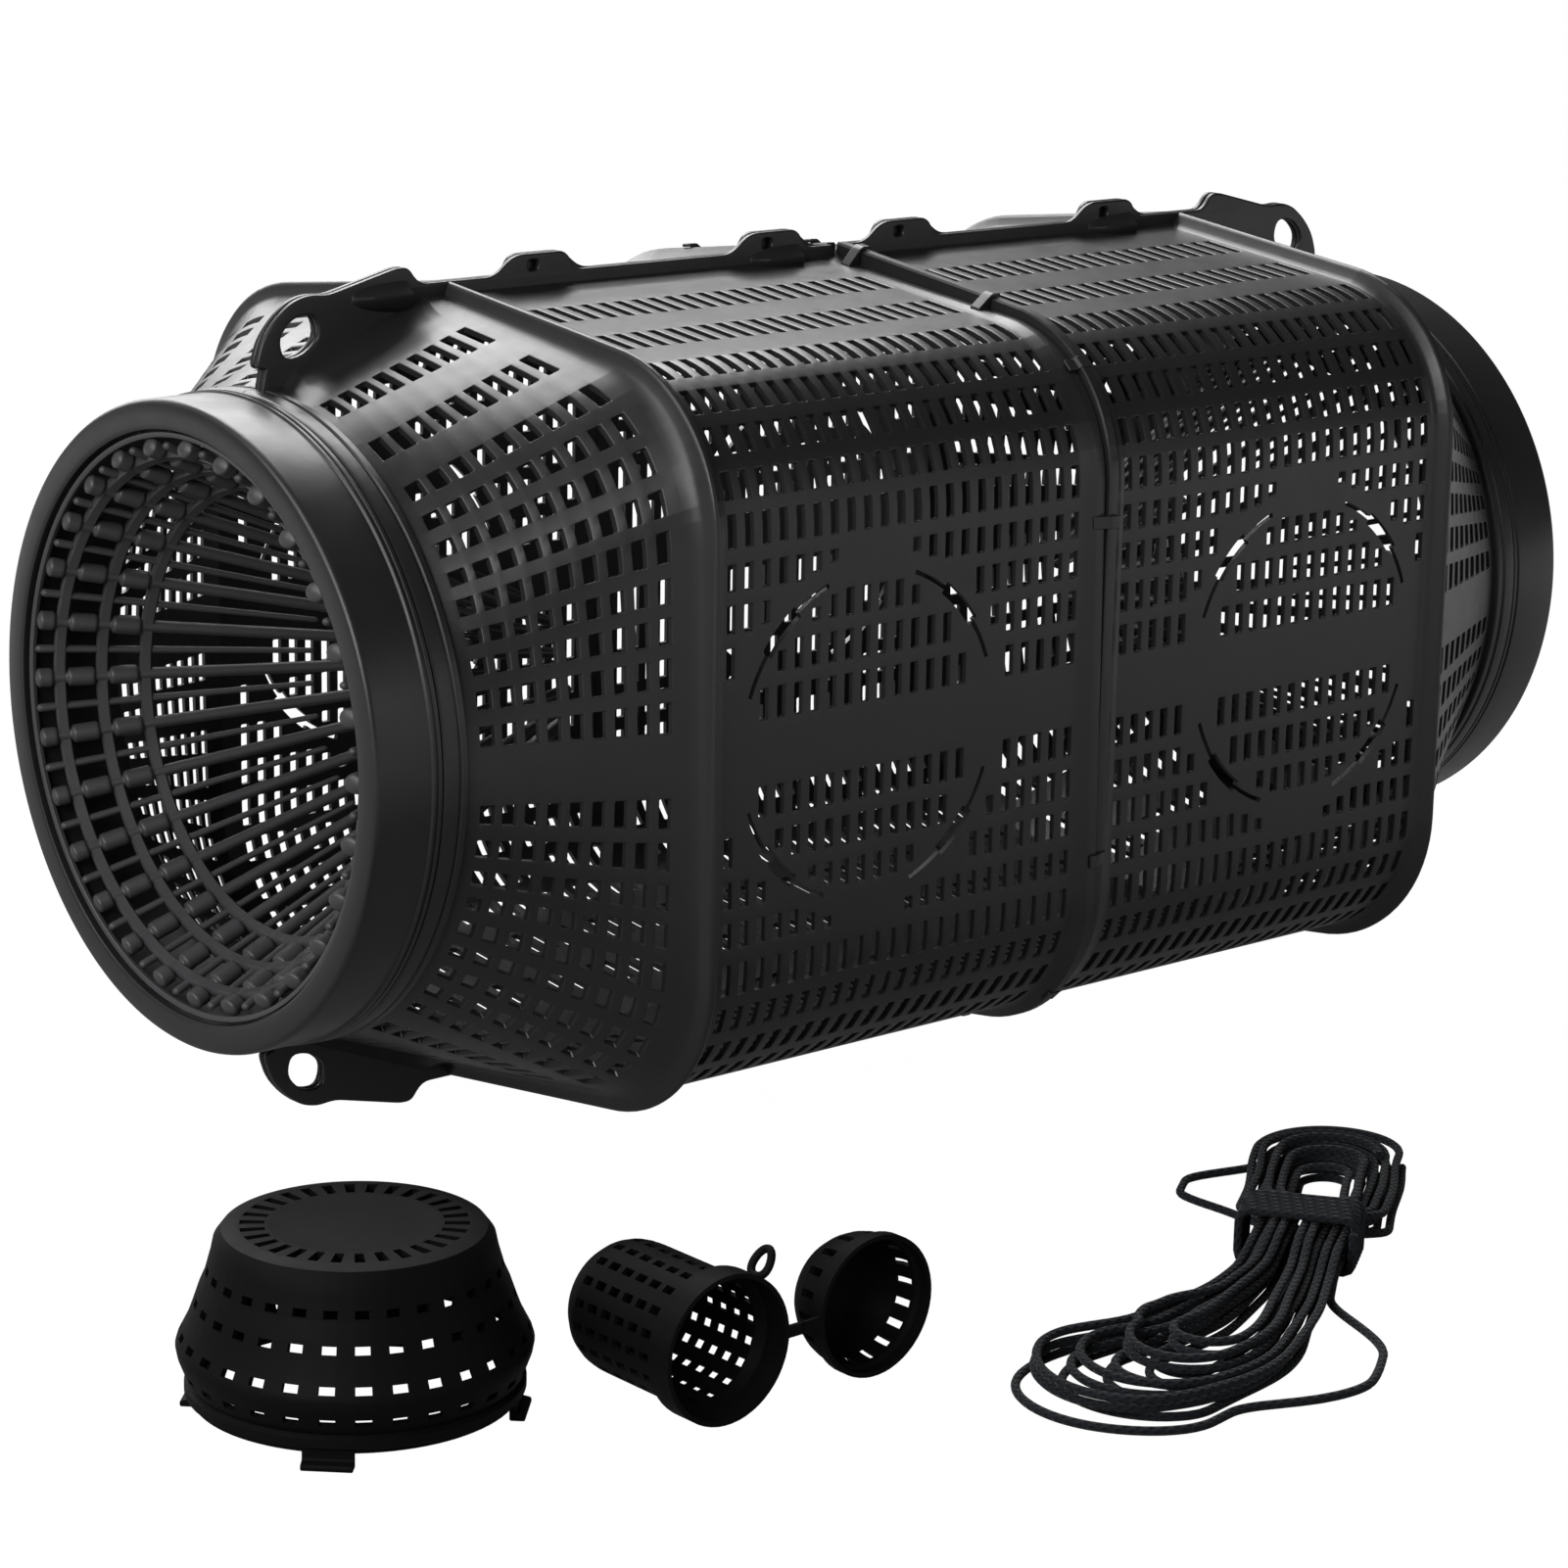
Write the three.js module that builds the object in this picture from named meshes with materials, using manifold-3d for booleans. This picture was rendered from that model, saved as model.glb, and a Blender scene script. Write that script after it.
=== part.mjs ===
// A collapsible moulded minnow trap with its bait basket, its bait box and its hank of cord.
// Millimetres, +Z up. The trap lies along X on its lowest seam tabs, and the side with the
// bait basket's bayonet slots looks towards -Y. The kit stands on the same floor in front of it.

import * as THREE from "three";
import { mergeVertices } from "three/addons/utils/BufferGeometryUtils.js";
import Module from "manifold-3d";

const wasm = await Module();
wasm.setup();

// Driving dimensions of the trap

const trapLength = 610;
const ribHalfWidth = 156;
const cornerRadius = 62;
const flatHalfHeight = 77;
const roofSlope = 0.12;
const wall = 2.2;
const ribStand = 5.5;
const middleStandMost = 6;
const tabTip = 158;
const fitGap = 0.4;
const halfSeam = fitGap / 2;
const flatTolerance = 0.002;
const samePlace = 1e-4;

// Driving dimensions of the kit that lies in front of it

const basketRadius = 55.5;
const basketHeight = 60;
const boxRadius = 22;
const boxLength = 64;
const cordDiameter = 3;

// Stations along the trap, measured from its middle

const halfLength = trapLength / 2;
const ribStart = 187.5;
const ribEnd = 189.5;
const coneEnd = 266;
const neckEnd = 277;
const flankLength = 4;
const middleCrest = 5;
const middleFlank = 6;
const barrelColumns = 5;
const barrelSlotStart = 15;
const barrelSlotEnd = 179;
const barrelSlotShare = 0.46;
const coneColumns = 2;
const coneSlotStart = 199.5;
const coneSlotEnd = 263;
const coneSlotShare = 0.68;

// The neck, whose groove holds the collar

const coneEndRadius = 116;
const neckRimStand = 2.4;
const neckStep = 0.6;
const flangeStart = coneEnd + 2 * neckStep;
const flangeEnd = 272.5;
const flangeRadius = 109.8;

// Rows of slots down a quarter of the trap, as lengths along its outline from the seam

const slotRows = [
  { from: 26, to: 50 },
  { from: 64, to: 90 },
  { from: 104, to: 136 },
  { from: 148, to: 180 },
  { from: 190, to: 207 },
  { from: 216, to: 247 },
];

// The round bayonet seat for the bait basket on the flat side

const seatCentre = 113;
const seatRadius = 60;
const seatInnerClear = 54;
const seatOuterClear = 70;
const seatSlotHalfAngle = 25;
const seatSlotWidth = 1.8;
const seatLugHalfAngle = 9.5;
const seatLugWidth = 5.4;
const seatSlotSteps = 1;
const seatLugSteps = 1;

const blackPlastic = { color: 0x1d1d1f, roughness: 0.42, metalness: 0 };
const softBlackPlastic = { color: 0x161617, roughness: 0.55, metalness: 0 };
const blackCord = { color: 0x14161b, roughness: 0.9, metalness: 0 };

// Small helpers

const radians = (degrees) => (degrees * Math.PI) / 180;
const mix = (from, to, share) => from + (to - from) * share;
const evenSteps = (from, to, count) =>
  Array.from({ length: count + 1 }, (_, step) => mix(from, to, step / count));
const smooth = (share) => {
  const held = Math.min(Math.max(share, 0), 1);
  return held * held * (3 - 2 * held);
};

function meshOf(name, geometry, look) {
  const mesh = new THREE.Mesh(geometry, new THREE.MeshStandardMaterial(look));
  mesh.name = name;
  return mesh;
}

function toManifold(geometry) {
  const bare = geometry.clone();
  bare.deleteAttribute("normal");
  bare.deleteAttribute("uv");
  const merged = mergeVertices(bare);
  return new wasm.Manifold(
    new wasm.Mesh({
      numProp: 3,
      vertProperties: new Float32Array(merged.attributes.position.array),
      triVerts: new Uint32Array(merged.index.array),
    })
  );
}

// Triangles that lie in one plane are joined on the way back

function fromManifold(solid) {
  const mesh = solid.simplify(flatTolerance).getMesh();
  const geometry = new THREE.BufferGeometry();
  geometry.setAttribute("position", new THREE.BufferAttribute(mesh.vertProperties, 3));
  geometry.setIndex(new THREE.BufferAttribute(mesh.triVerts, 1));
  geometry.computeVertexNormals();
  return geometry;
}

function combine(base, { added = [], removed = [] }) {
  const joined = added.reduce((solid, piece) => solid.add(toManifold(piece)), toManifold(base));
  const cut = removed.reduce((solid, piece) => solid.subtract(toManifold(piece)), joined);
  return fromManifold(cut);
}

function boxBetween(low, high) {
  const size = low.map((value, index) => high[index] - value);
  const geometry = new THREE.BoxGeometry(...size);
  return geometry.translate(...low.map((value, index) => value + size[index] / 2));
}

// An outline in the plane of X and Z, given thickness from one Y to another

function plateAlongY(outline, fromY, toY, holes = []) {
  const shape = new THREE.Shape(outline.map(([x, z]) => new THREE.Vector2(x, z)));
  shape.holes = holes.map((hole) => new THREE.Path(hole.map(([x, z]) => new THREE.Vector2(x, z))));
  const geometry = new THREE.ExtrudeGeometry(shape, { depth: toY - fromY, bevelEnabled: false });
  return geometry.rotateX(Math.PI / 2).translate(0, toY, 0);
}

// A sheet with an outer and an inner face over a grid of stations, in which the cells that
// isOpen names are left out as through holes with their own side walls

function gridSheet({ rows, columns, closedRound = false, outer, inner, isOpen = () => false }) {
  const vertices = [];
  const triangle = (a, b, c) => {
    const sides = [a.distanceTo(b), b.distanceTo(c), c.distanceTo(a)];
    if (Math.min(...sides) > samePlace) {
      vertices.push(...a.toArray(), ...b.toArray(), ...c.toArray());
    }
  };
  const quad = (a, b, c, d) => {
    triangle(a, b, c);
    triangle(a, c, d);
  };
  const rowCells = rows - 1;
  const columnCells = closedRound ? columns : columns - 1;
  const column = (index) => (closedRound ? (index + columns) % columns : index);
  const isSolid = (row, cell) => {
    if (row < 0 || row >= rowCells) {
      return false;
    }
    if (!closedRound && (cell < 0 || cell >= columnCells)) {
      return false;
    }
    return !isOpen(row, column(cell));
  };
  for (let row = 0; row < rowCells; row += 1) {
    for (let cell = 0; cell < columnCells; cell += 1) {
      if (!isSolid(row, cell)) {
        continue;
      }
      const corners = [
        [row, cell],
        [row + 1, cell],
        [row + 1, cell + 1],
        [row, cell + 1],
      ];
      const top = corners.map(([r, c]) => outer(r, column(c)));
      const under = corners.map(([r, c]) => inner(r, column(c)));
      quad(...top);
      quad(under[3], under[2], under[1], under[0]);
      const beyond = [
        [row, cell - 1],
        [row + 1, cell],
        [row, cell + 1],
        [row - 1, cell],
      ];
      beyond.forEach(([r, c], side) => {
        if (!isSolid(r, c)) {
          const next = (side + 1) % 4;
          quad(top[next], top[side], under[side], under[next]);
        }
      });
    }
  }
  const geometry = new THREE.BufferGeometry();
  geometry.setAttribute("position", new THREE.Float32BufferAttribute(vertices, 3));
  const merged = mergeVertices(geometry, samePlace);
  merged.computeVertexNormals();
  return merged;
}

// The rounded-square outline of a quarter of the barrel, as a walk from the upper seam over
// the side to the lower seam. Each place is { y, z } with the outward direction { ny, nz }.

const shellHalfWidth = ribHalfWidth - ribStand;
const shellCorner = cornerRadius - ribStand;
const cornerCentre = ribHalfWidth - cornerRadius;
const slopeAngle = Math.atan(roofSlope);
const cornerAngle = Math.PI / 2 - slopeAngle;
const roofEndY = cornerCentre + shellCorner * Math.sin(slopeAngle);
const roofEndZ = flatHalfHeight + shellCorner * Math.cos(slopeAngle);
const roofLength = roofEndY / Math.cos(slopeAngle);
const cornerLength = shellCorner * cornerAngle;
const halfOutline = roofLength + cornerLength + flatHalfHeight;
const roofTop = roofEndZ + roofEndY * roofSlope;

function upperOutline(walk) {
  if (walk <= roofLength) {
    const y = Math.max(walk * Math.cos(slopeAngle), halfSeam);
    return { y, z: roofTop - y * roofSlope, ny: Math.sin(slopeAngle), nz: Math.cos(slopeAngle) };
  }
  if (walk <= roofLength + cornerLength) {
    const turn = Math.PI / 2 - slopeAngle - (walk - roofLength) / shellCorner;
    const ny = Math.cos(turn);
    const nz = Math.sin(turn);
    return { y: cornerCentre + shellCorner * ny, z: flatHalfHeight + shellCorner * nz, ny, nz };
  }
  return { y: shellHalfWidth, z: halfOutline - walk, ny: 1, nz: 0 };
}

function outlinePlace(walk) {
  if (walk <= halfOutline) {
    return upperOutline(walk);
  }
  const mirrored = upperOutline(2 * halfOutline - walk);
  return { ...mirrored, z: -mirrored.z, nz: -mirrored.nz };
}

// The crest beside the middle joint rises from the upper seam to the lower one, so that each
// quarter's tall end stands over the low end of the quarter beyond the joint

function middleStandAt(walk) {
  return (middleStandMost * walk) / (2 * halfOutline);
}

// A point of the shell: share 0 is the barrel's outline and share 1 the neck's circle

function shellPoint({ along, roundShare, lift }, walk) {
  const place = outlinePlace(walk);
  const reach = Math.hypot(place.y, place.z);
  const atSeam = place.y <= halfSeam;
  const upDown = Math.sign(place.z);
  const ny = atSeam ? 0 : mix(place.ny, place.y / reach, roundShare);
  const nz = atSeam ? upDown : mix(place.nz, place.z / reach, roundShare);
  const long = Math.hypot(ny, nz);
  const y = mix(place.y, (coneEndRadius * place.y) / reach, roundShare);
  const z = mix(place.z, (coneEndRadius * place.z) / reach, roundShare);
  const stand = typeof lift === "function" ? lift(walk) : lift;
  const outY = Math.max(y + (stand * ny) / long, halfSeam);
  return new THREE.Vector3(-along, -outY, z + (stand * nz) / long);
}

// Stations along a quarter from the middle joint to its neck. Lift is how far the outer face
// stands over the shell's outline, and depth is how far the inner face lies under it.

function slotStations(from, to, count, slotShare) {
  const pitch = (to - from) / count;
  return Array.from({ length: count }, (_, index) => {
    const start = from + pitch * (index + (1 - slotShare) / 2);
    return { start, end: start + pitch * slotShare };
  });
}

const barrelSlots = slotStations(barrelSlotStart, barrelSlotEnd, barrelColumns, barrelSlotShare);
const coneSlots = slotStations(coneSlotStart, coneSlotEnd, coneColumns, coneSlotShare);

function shellStations() {
  const coneShare = (along) => (along - ribEnd) / (coneEnd - ribEnd);
  const barrel = (along, lift = 0) => ({ along, roundShare: 0, lift, depth: wall });
  const cone = (along, lift = 0) => ({ along, roundShare: coneShare(along), lift, depth: wall });
  const neck = (along, lift, depth) => ({ along, roundShare: 1, lift, depth });
  const flangeDepth = coneEndRadius - flangeRadius;
  return [
    barrel(halfSeam, middleStandAt),
    barrel(middleCrest, middleStandAt),
    barrel(middleCrest + middleFlank),
    ...barrelSlots.flatMap(({ start, end }) => [barrel(start), barrel(end)]),
    barrel(ribStart - flankLength),
    barrel(ribStart, ribStand),
    barrel(ribEnd, ribStand),
    cone(ribEnd + flankLength),
    ...coneSlots.flatMap(({ start, end }) => [cone(start), cone(end)]),
    neck(coneEnd, 0, wall),
    neck(coneEnd + neckStep, neckRimStand, wall),
    neck(flangeStart, neckRimStand, flangeDepth),
    neck(flangeEnd, neckRimStand, flangeDepth),
    neck(flangeEnd + neckStep, neckRimStand, wall),
    neck(neckEnd, neckRimStand, wall),
  ];
}

function slotWalks() {
  const lower = slotRows.map(({ from, to }) => ({
    from: 2 * halfOutline - to,
    to: 2 * halfOutline - from,
  }));
  return [...slotRows, ...lower.reverse()];
}

// A slot of the barrel is left out where it would run into the bayonet seat's rings

function clearOfSeat(alongFrom, alongTo, walkFrom, walkTo) {
  const along = (alongFrom + alongTo) / 2 - seatCentre;
  const aside = (alongTo - alongFrom) / 2;
  const up = Math.abs(halfOutline - (walkFrom + walkTo) / 2);
  const above = (walkTo - walkFrom) / 2;
  const far = Math.hypot(Math.abs(along) + aside, up + above);
  const near = Math.hypot(Math.max(Math.abs(along) - aside, 0), up - above);
  return far < seatInnerClear || near > seatOuterClear;
}

function bareShell() {
  const stations = shellStations();
  const walks = slotWalks();
  const columns = [0, ...walks.flatMap(({ from, to }) => [from, to]), 2 * halfOutline];
  const slots = [...barrelSlots, ...coneSlots];
  const isOpen = (row, cell) => {
    const slot = slots.find(({ start }) => start === stations[row].along);
    const walk = walks.find(({ from }) => from === columns[cell]);
    if (!slot || !walk) {
      return false;
    }
    return slot.start > ribEnd || clearOfSeat(slot.start, slot.end, walk.from, walk.to);
  };
  return gridSheet({
    rows: stations.length,
    columns: columns.length,
    outer: (row, column) => shellPoint(stations[row], columns[column]),
    inner: (row, column) => {
      const { along, roundShare, depth } = stations[row];
      return shellPoint({ along, roundShare, lift: -depth }, columns[column]);
    },
    isOpen,
  });
}

// The seam plate of a quarter stands over the shell along its upper and lower edge. It carries
// three tabs and, beside the neck, the loop that the cord is tied to.

const seamThickness = 2.6;
const seamTop = roofTop + ribStand;
const seamEnd = 271;
const tabRise = tabTip - seamTop;
const tabPlaces = [34, 147];
const tabHalfBase = 16;
const tabHalfTip = 12;
const tabFlare = 5;
const coneTabStart = 202;
const coneTabTip = 207;
const coneTabTipWidth = 5;
const coneTabDrop = 1;
const loopMiddle = [257.5, 137];
const loopReach = 16;
const loopOuterShares = [
  [-0.97, 0.79],
  [-0.47, 0.84],
  [-0.03, 0.72],
  [0.41, 0.39],
  [0.78, -0.06],
  [1, -0.75],
];
const loopHoleShares = [
  [-0.72, -0.16],
  [-0.22, -0.47],
  [0.22, -0.5],
  [0.31, -0.06],
  [-0.03, 0.31],
  [-0.59, 0.4],
];

const windowHalfLength = 6;
const windowHalfHeight = 2;
const windowDrop = 4.5;
const windowHeight = tabTip - windowDrop;
const tongueClearance = 0.7;
const tongueLength = 6;
const tongueReach = 2;
const lensHalfLength = 12;
const lensHalfHeight = 4.6;
const lensShoulder = 6;
const lensBulge = 2.2;
const lensHeight = 147;
const coneLensInset = 13;
const lensPlaces = [...tabPlaces, coneTabTip + coneLensInset];
const windowPlaces = [...tabPlaces, coneTabTip + windowHalfLength];

function loopPlaces(shares) {
  return shares.map((pair) => pair.map((share, index) => loopMiddle[index] + share * loopReach));
}

// A tab's foot is longer on the side towards the neck above, and towards the middle below

function seamOutline(upDown) {
  const tab = (centre) => [
    [centre - tabHalfBase - (upDown < 0 ? tabFlare : 0), seamTop],
    [centre - tabHalfTip, seamTop + tabRise],
    [centre + tabHalfTip, seamTop + tabRise],
    [centre + tabHalfBase + (upDown > 0 ? tabFlare : 0), seamTop],
  ];
  return [
    [halfSeam, seamTop],
    ...tabPlaces.flatMap(tab),
    [coneTabStart, seamTop],
    [coneTabTip, tabTip - coneTabDrop],
    [coneTabTip + coneTabTipWidth, tabTip - coneTabDrop],
    ...loopPlaces(loopOuterShares),
    [seamEnd, coneEndRadius],
    [seamEnd, coneEndRadius - wall],
    [coneEnd, coneEndRadius - wall],
    [ribEnd, roofTop - wall],
    [halfSeam, roofTop - wall],
  ];
}

function seamPlate(upDown) {
  const flip = ([x, z]) => [-x, upDown * z];
  const inOrder = (places) => (upDown > 0 ? places.map(flip) : places.map(flip).reverse());
  return plateAlongY(inOrder(seamOutline(upDown)), -halfSeam - seamThickness, -halfSeam, [
    inOrder(loopPlaces(loopHoleShares)),
  ]);
}

// A window through a tab takes the tongue of the tab that faces it at one end, and is open
// at its other end

function tabWindow(place, upDown) {
  const centre = upDown * windowHeight;
  const low = [-place - windowHalfLength, -2 * seamThickness, centre - windowHalfHeight];
  return boxBetween(low, [-place + windowHalfLength, seamThickness, centre + windowHalfHeight]);
}

function tabTongue(place, upDown) {
  const centre = upDown * windowHeight;
  const halfZ = windowHalfHeight - tongueClearance;
  const closedEnd = windowHalfLength - tongueClearance - tongueLength / 2;
  const middle = -place + upDown * closedEnd;
  const low = [middle - tongueLength / 2, -halfSeam - seamThickness / 2, centre - halfZ];
  return boxBetween(low, [middle + tongueLength / 2, tongueReach, centre + halfZ]);
}

// The half lens on the outside of a tongued tab, pressed with a thumb to open it. It is
// pointed at one end and square at the other.

function tabLens(place, upDown) {
  const shape = new THREE.Shape([
    new THREE.Vector2(-upDown * lensHalfLength, 0),
    new THREE.Vector2(-upDown * (lensHalfLength - lensShoulder), -lensHalfHeight),
    new THREE.Vector2(upDown * lensHalfLength, -lensHalfHeight),
    new THREE.Vector2(upDown * lensHalfLength, lensHalfHeight),
    new THREE.Vector2(-upDown * (lensHalfLength - lensShoulder), lensHalfHeight),
  ]);
  const depth = lensBulge + seamThickness / 2;
  const boss = new THREE.ExtrudeGeometry(shape, { depth, bevelEnabled: false });
  const face = -halfSeam - seamThickness / 2;
  return boss.rotateX(Math.PI / 2).translate(-place, face, upDown * lensHeight);
}

// Hooks of a quarter reach over the crest of the quarter beyond the middle joint

const hookHalfWidth = 3;
const hookThickness = 1.3;
const hookReach = 4;
const hookRoot = 4;
const hookWalks = [12, 86, 196, 2 * halfOutline - 137];

function middleHook(walk) {
  const place = outlinePlace(walk);
  const angle = Math.atan2(place.nz, place.ny);
  const crestBeyond = middleStandAt(2 * halfOutline - walk + hookHalfWidth);
  const root = Math.min(middleStandAt(walk), crestBeyond) - hookThickness;
  const low = [-hookRoot, root, -hookHalfWidth];
  const high = [hookReach, crestBeyond + fitGap + hookThickness, hookHalfWidth];
  const hook = boxBetween(low, high);
  const relief = boxBetween(
    [-halfSeam, root - hookThickness, -2 * hookHalfWidth],
    [2 * hookReach, crestBeyond + fitGap, 2 * hookHalfWidth]
  );
  const cut = combine(hook, { removed: [relief] });
  return cut.rotateX(Math.PI - angle).translate(0, -place.y, place.z);
}

// The four arc slots of the bayonet seat, each with a wider middle that a lug drops through

function seatSlot(quarter) {
  const middle = quarter * 90 + 45;
  const stretch = (from, to, steps, width) =>
    evenSteps(from, to, steps).map((angle) => [angle, width]);
  const places = [
    ...stretch(-seatSlotHalfAngle, -seatLugHalfAngle, seatSlotSteps, seatSlotWidth),
    ...stretch(-seatLugHalfAngle, seatLugHalfAngle, seatLugSteps, seatLugWidth),
    ...stretch(seatLugHalfAngle, seatSlotHalfAngle, seatSlotSteps, seatSlotWidth),
  ];
  const edge = (inOut) => ([angle, width]) => {
    const radius = seatRadius + (inOut * width) / 2;
    const turn = radians(middle + angle);
    return [-seatCentre + radius * Math.cos(turn), radius * Math.sin(turn)];
  };
  const outline = [...places.map(edge(1)), ...places.map(edge(-1)).reverse()];
  return plateAlongY(outline, -shellHalfWidth - wall, -shellHalfWidth + 2 * wall);
}

function shellQuarter() {
  const upper = 1;
  const lower = -1;
  const tongued = [
    { tab: 0, upDown: upper },
    { tab: 2, upDown: upper },
    { tab: 1, upDown: lower },
  ];
  const windowed = [
    { tab: 1, upDown: upper },
    { tab: 0, upDown: lower },
    { tab: 2, upDown: lower },
  ];
  return combine(bareShell(), {
    added: [
      seamPlate(upper),
      seamPlate(lower),
      ...hookWalks.map(middleHook),
      ...tongued.map(({ tab, upDown }) => tabTongue(windowPlaces[tab], upDown)),
      ...tongued.map(({ tab, upDown }) => tabLens(lensPlaces[tab], upDown)),
    ],
    removed: [
      ...windowed.map(({ tab, upDown }) => tabWindow(windowPlaces[tab], upDown)),
      ...[0, 1, 2, 3].map(seatSlot),
    ],
  });
}

// All four quarters are the same moulding, turned half a turn about each axis in its turn

function trapShells() {
  const quarter = shellQuarter();
  const turned = (name, x, y, z) => {
    const mesh = meshOf(name, quarter, blackPlastic);
    mesh.rotation.set(x, y, z);
    return mesh;
  };
  return [
    turned("front_left_shell", 0, 0, 0),
    turned("front_right_shell", 0, Math.PI, 0),
    turned("back_left_shell", Math.PI, 0, 0),
    turned("back_right_shell", 0, 0, Math.PI),
  ];
}

// The collar turns in the neck's groove: a skirt outside, a hub inside and a flat lip in front

const ringSegments = 24;
const collarRadius = 117.3;
const collarBead = 0.8;
const collarBeadLength = 4;
const skirtWall = 2.4;
const lipThickness = 2.5;
const hubOuter = 112.3;
const facetShare = 0.99;
const hubGroove = flangeRadius * facetShare - fitGap;
const hubInner = 106.8;
const hubBeadLength = 2.6;

function lathedRing(profile, segments) {
  const closed = [...profile, profile[0]];
  const points = closed.map(([radius, along]) => new THREE.Vector2(radius, along));
  const ring = new THREE.LatheGeometry(points, segments);
  return ring.rotateZ(Math.PI / 2);
}

function entryCollar() {
  const skirtBack = neckEnd + fitGap;
  const lipBack = halfLength - lipThickness;
  const grooveFront = flangeEnd + neckStep + fitGap;
  const grooveBack = flangeStart - neckStep - fitGap;
  return lathedRing(
    [
      [hubInner, halfLength],
      [hubInner, grooveBack - hubBeadLength],
      [hubOuter, grooveBack - hubBeadLength],
      [hubOuter, grooveBack],
      [hubGroove, grooveBack],
      [hubGroove, grooveFront],
      [hubOuter, grooveFront],
      [hubOuter, lipBack],
      [collarRadius - skirtWall, lipBack],
      [collarRadius - skirtWall, skirtBack],
      [collarRadius + collarBead, skirtBack],
      [collarRadius + collarBead, skirtBack + collarBeadLength],
      [collarRadius, skirtBack + collarBeadLength],
      [collarRadius, halfLength],
    ],
    ringSegments
  );
}

// The funnel: a thin rim, three rows of windows between hoops, then free fingers that lean in
// towards the throat, so that a fish can push in and not out

const funnelMouth = hubInner * facetShare - fitGap;
const throatRadius = 33;
const funnelDepth = 150;
const fingerCount = 14;
const fingerShare = 0.42;
const rimLength = 2;
const hoopDepths = [10.5, 24.5, 39];
const hoopLength = 4;
const funnelWall = 3;
const fingerThickness = 4.2;
const fingerBendShare = 0.5;

function funnelStations() {
  const start = halfLength;
  const hoops = hoopDepths.map((depth) => start - depth);
  const hoopEdges = hoops.flatMap((hoop) => [hoop + hoopLength / 2, hoop - hoopLength / 2]);
  const stations = [start, start - rimLength, ...hoopEdges];
  const fingerRoot = stations[stations.length - 1];
  const throat = start - funnelDepth;
  stations.push(mix(fingerRoot, throat, fingerBendShare), throat);
  return stations;
}

function funnelRadius(along) {
  const inShare = (halfLength - along) / funnelDepth;
  return mix(funnelMouth, throatRadius, inShare);
}

function entryFunnel() {
  const stations = funnelStations();
  const columns = 2 * fingerCount;
  const firstFinger = stations.length - 3;
  const turnOf = (column) => {
    const finger = Math.floor(column / 2);
    const edgeShare = column % 2 === 0 ? 0 : fingerShare;
    return (2 * Math.PI * (finger + edgeShare)) / fingerCount;
  };
  const at = (along, radius, column) => {
    const turn = turnOf(column);
    return new THREE.Vector3(-along, radius * Math.sin(turn), radius * Math.cos(turn));
  };
  const funnel = gridSheet({
    rows: stations.length,
    columns,
    closedRound: true,
    outer: (row, column) => at(stations[row], funnelRadius(stations[row]), column),
    inner: (row, column) => {
      const thickness = row >= firstFinger ? fingerThickness : funnelWall;
      return at(stations[row], funnelRadius(stations[row]) - thickness, column);
    },
    isOpen: (row, column) => {
      const inGap = column % 2 === 1;
      const inWindows = row % 2 === 1 && row < firstFinger;
      return inGap && (inWindows || row >= firstFinger);
    },
  });
  return combine(funnel, {});
}

function entry(side) {
  const near = side === "near";
  const group = new THREE.Group();
  group.add(meshOf(`${side}_collar`, entryCollar(), blackPlastic));
  group.add(meshOf(`${side}_funnel`, entryFunnel(), softBlackPlastic));
  group.rotation.z = near ? 0 : Math.PI;
  return group;
}

// A profile drawn as shares of a wall's largest radius and of its height

function profileOf(shares, radius, height) {
  return shares.map(([outShare, upShare]) => ({
    radius: outShare * radius,
    height: upShare * height,
  }));
}

// A perforated round wall standing on Z, given as a profile of { radius, height } places on
// its outer face, from the middle of its closed end to its open rim

function roundWall(profile, thickness, segments, openRows, openShare) {
  const columns = openRows.length > 0 ? 2 * segments : segments;
  const turnOf = (column) => {
    if (openRows.length === 0) {
      return (2 * Math.PI * column) / segments;
    }
    const edgeShare = column % 2 === 0 ? 0 : 1 - openShare;
    return (2 * Math.PI * (Math.floor(column / 2) + edgeShare)) / segments;
  };
  const at = (radius, height, column) => {
    const turn = turnOf(column);
    return new THREE.Vector3(radius * Math.cos(turn), radius * Math.sin(turn), height);
  };
  const inward = profile.map((place, index) => {
    const before = profile[Math.max(index - 1, 0)];
    const after = profile[Math.min(index + 1, profile.length - 1)];
    const along = new THREE.Vector2(after.radius - before.radius, after.height - before.height);
    along.normalize();
    const onAxis = place.radius === 0;
    const inside = new THREE.Vector2(along.y, -along.x);
    const radius = onAxis ? 0 : place.radius + thickness * inside.x;
    return { radius, height: place.height + thickness * (onAxis ? -1 : inside.y) };
  });
  inward[inward.length - 1].height = profile[profile.length - 1].height;
  return gridSheet({
    rows: profile.length,
    columns,
    closedRound: true,
    outer: (row, column) => at(profile[row].radius, profile[row].height, column),
    inner: (row, column) => at(inward[row].radius, inward[row].height, column),
    isOpen: (row, column) => column % 2 === 1 && openRows.includes(row),
  });
}

// The bait basket stands mouth down on the four lugs that turn in the trap's bayonet seat

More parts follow.
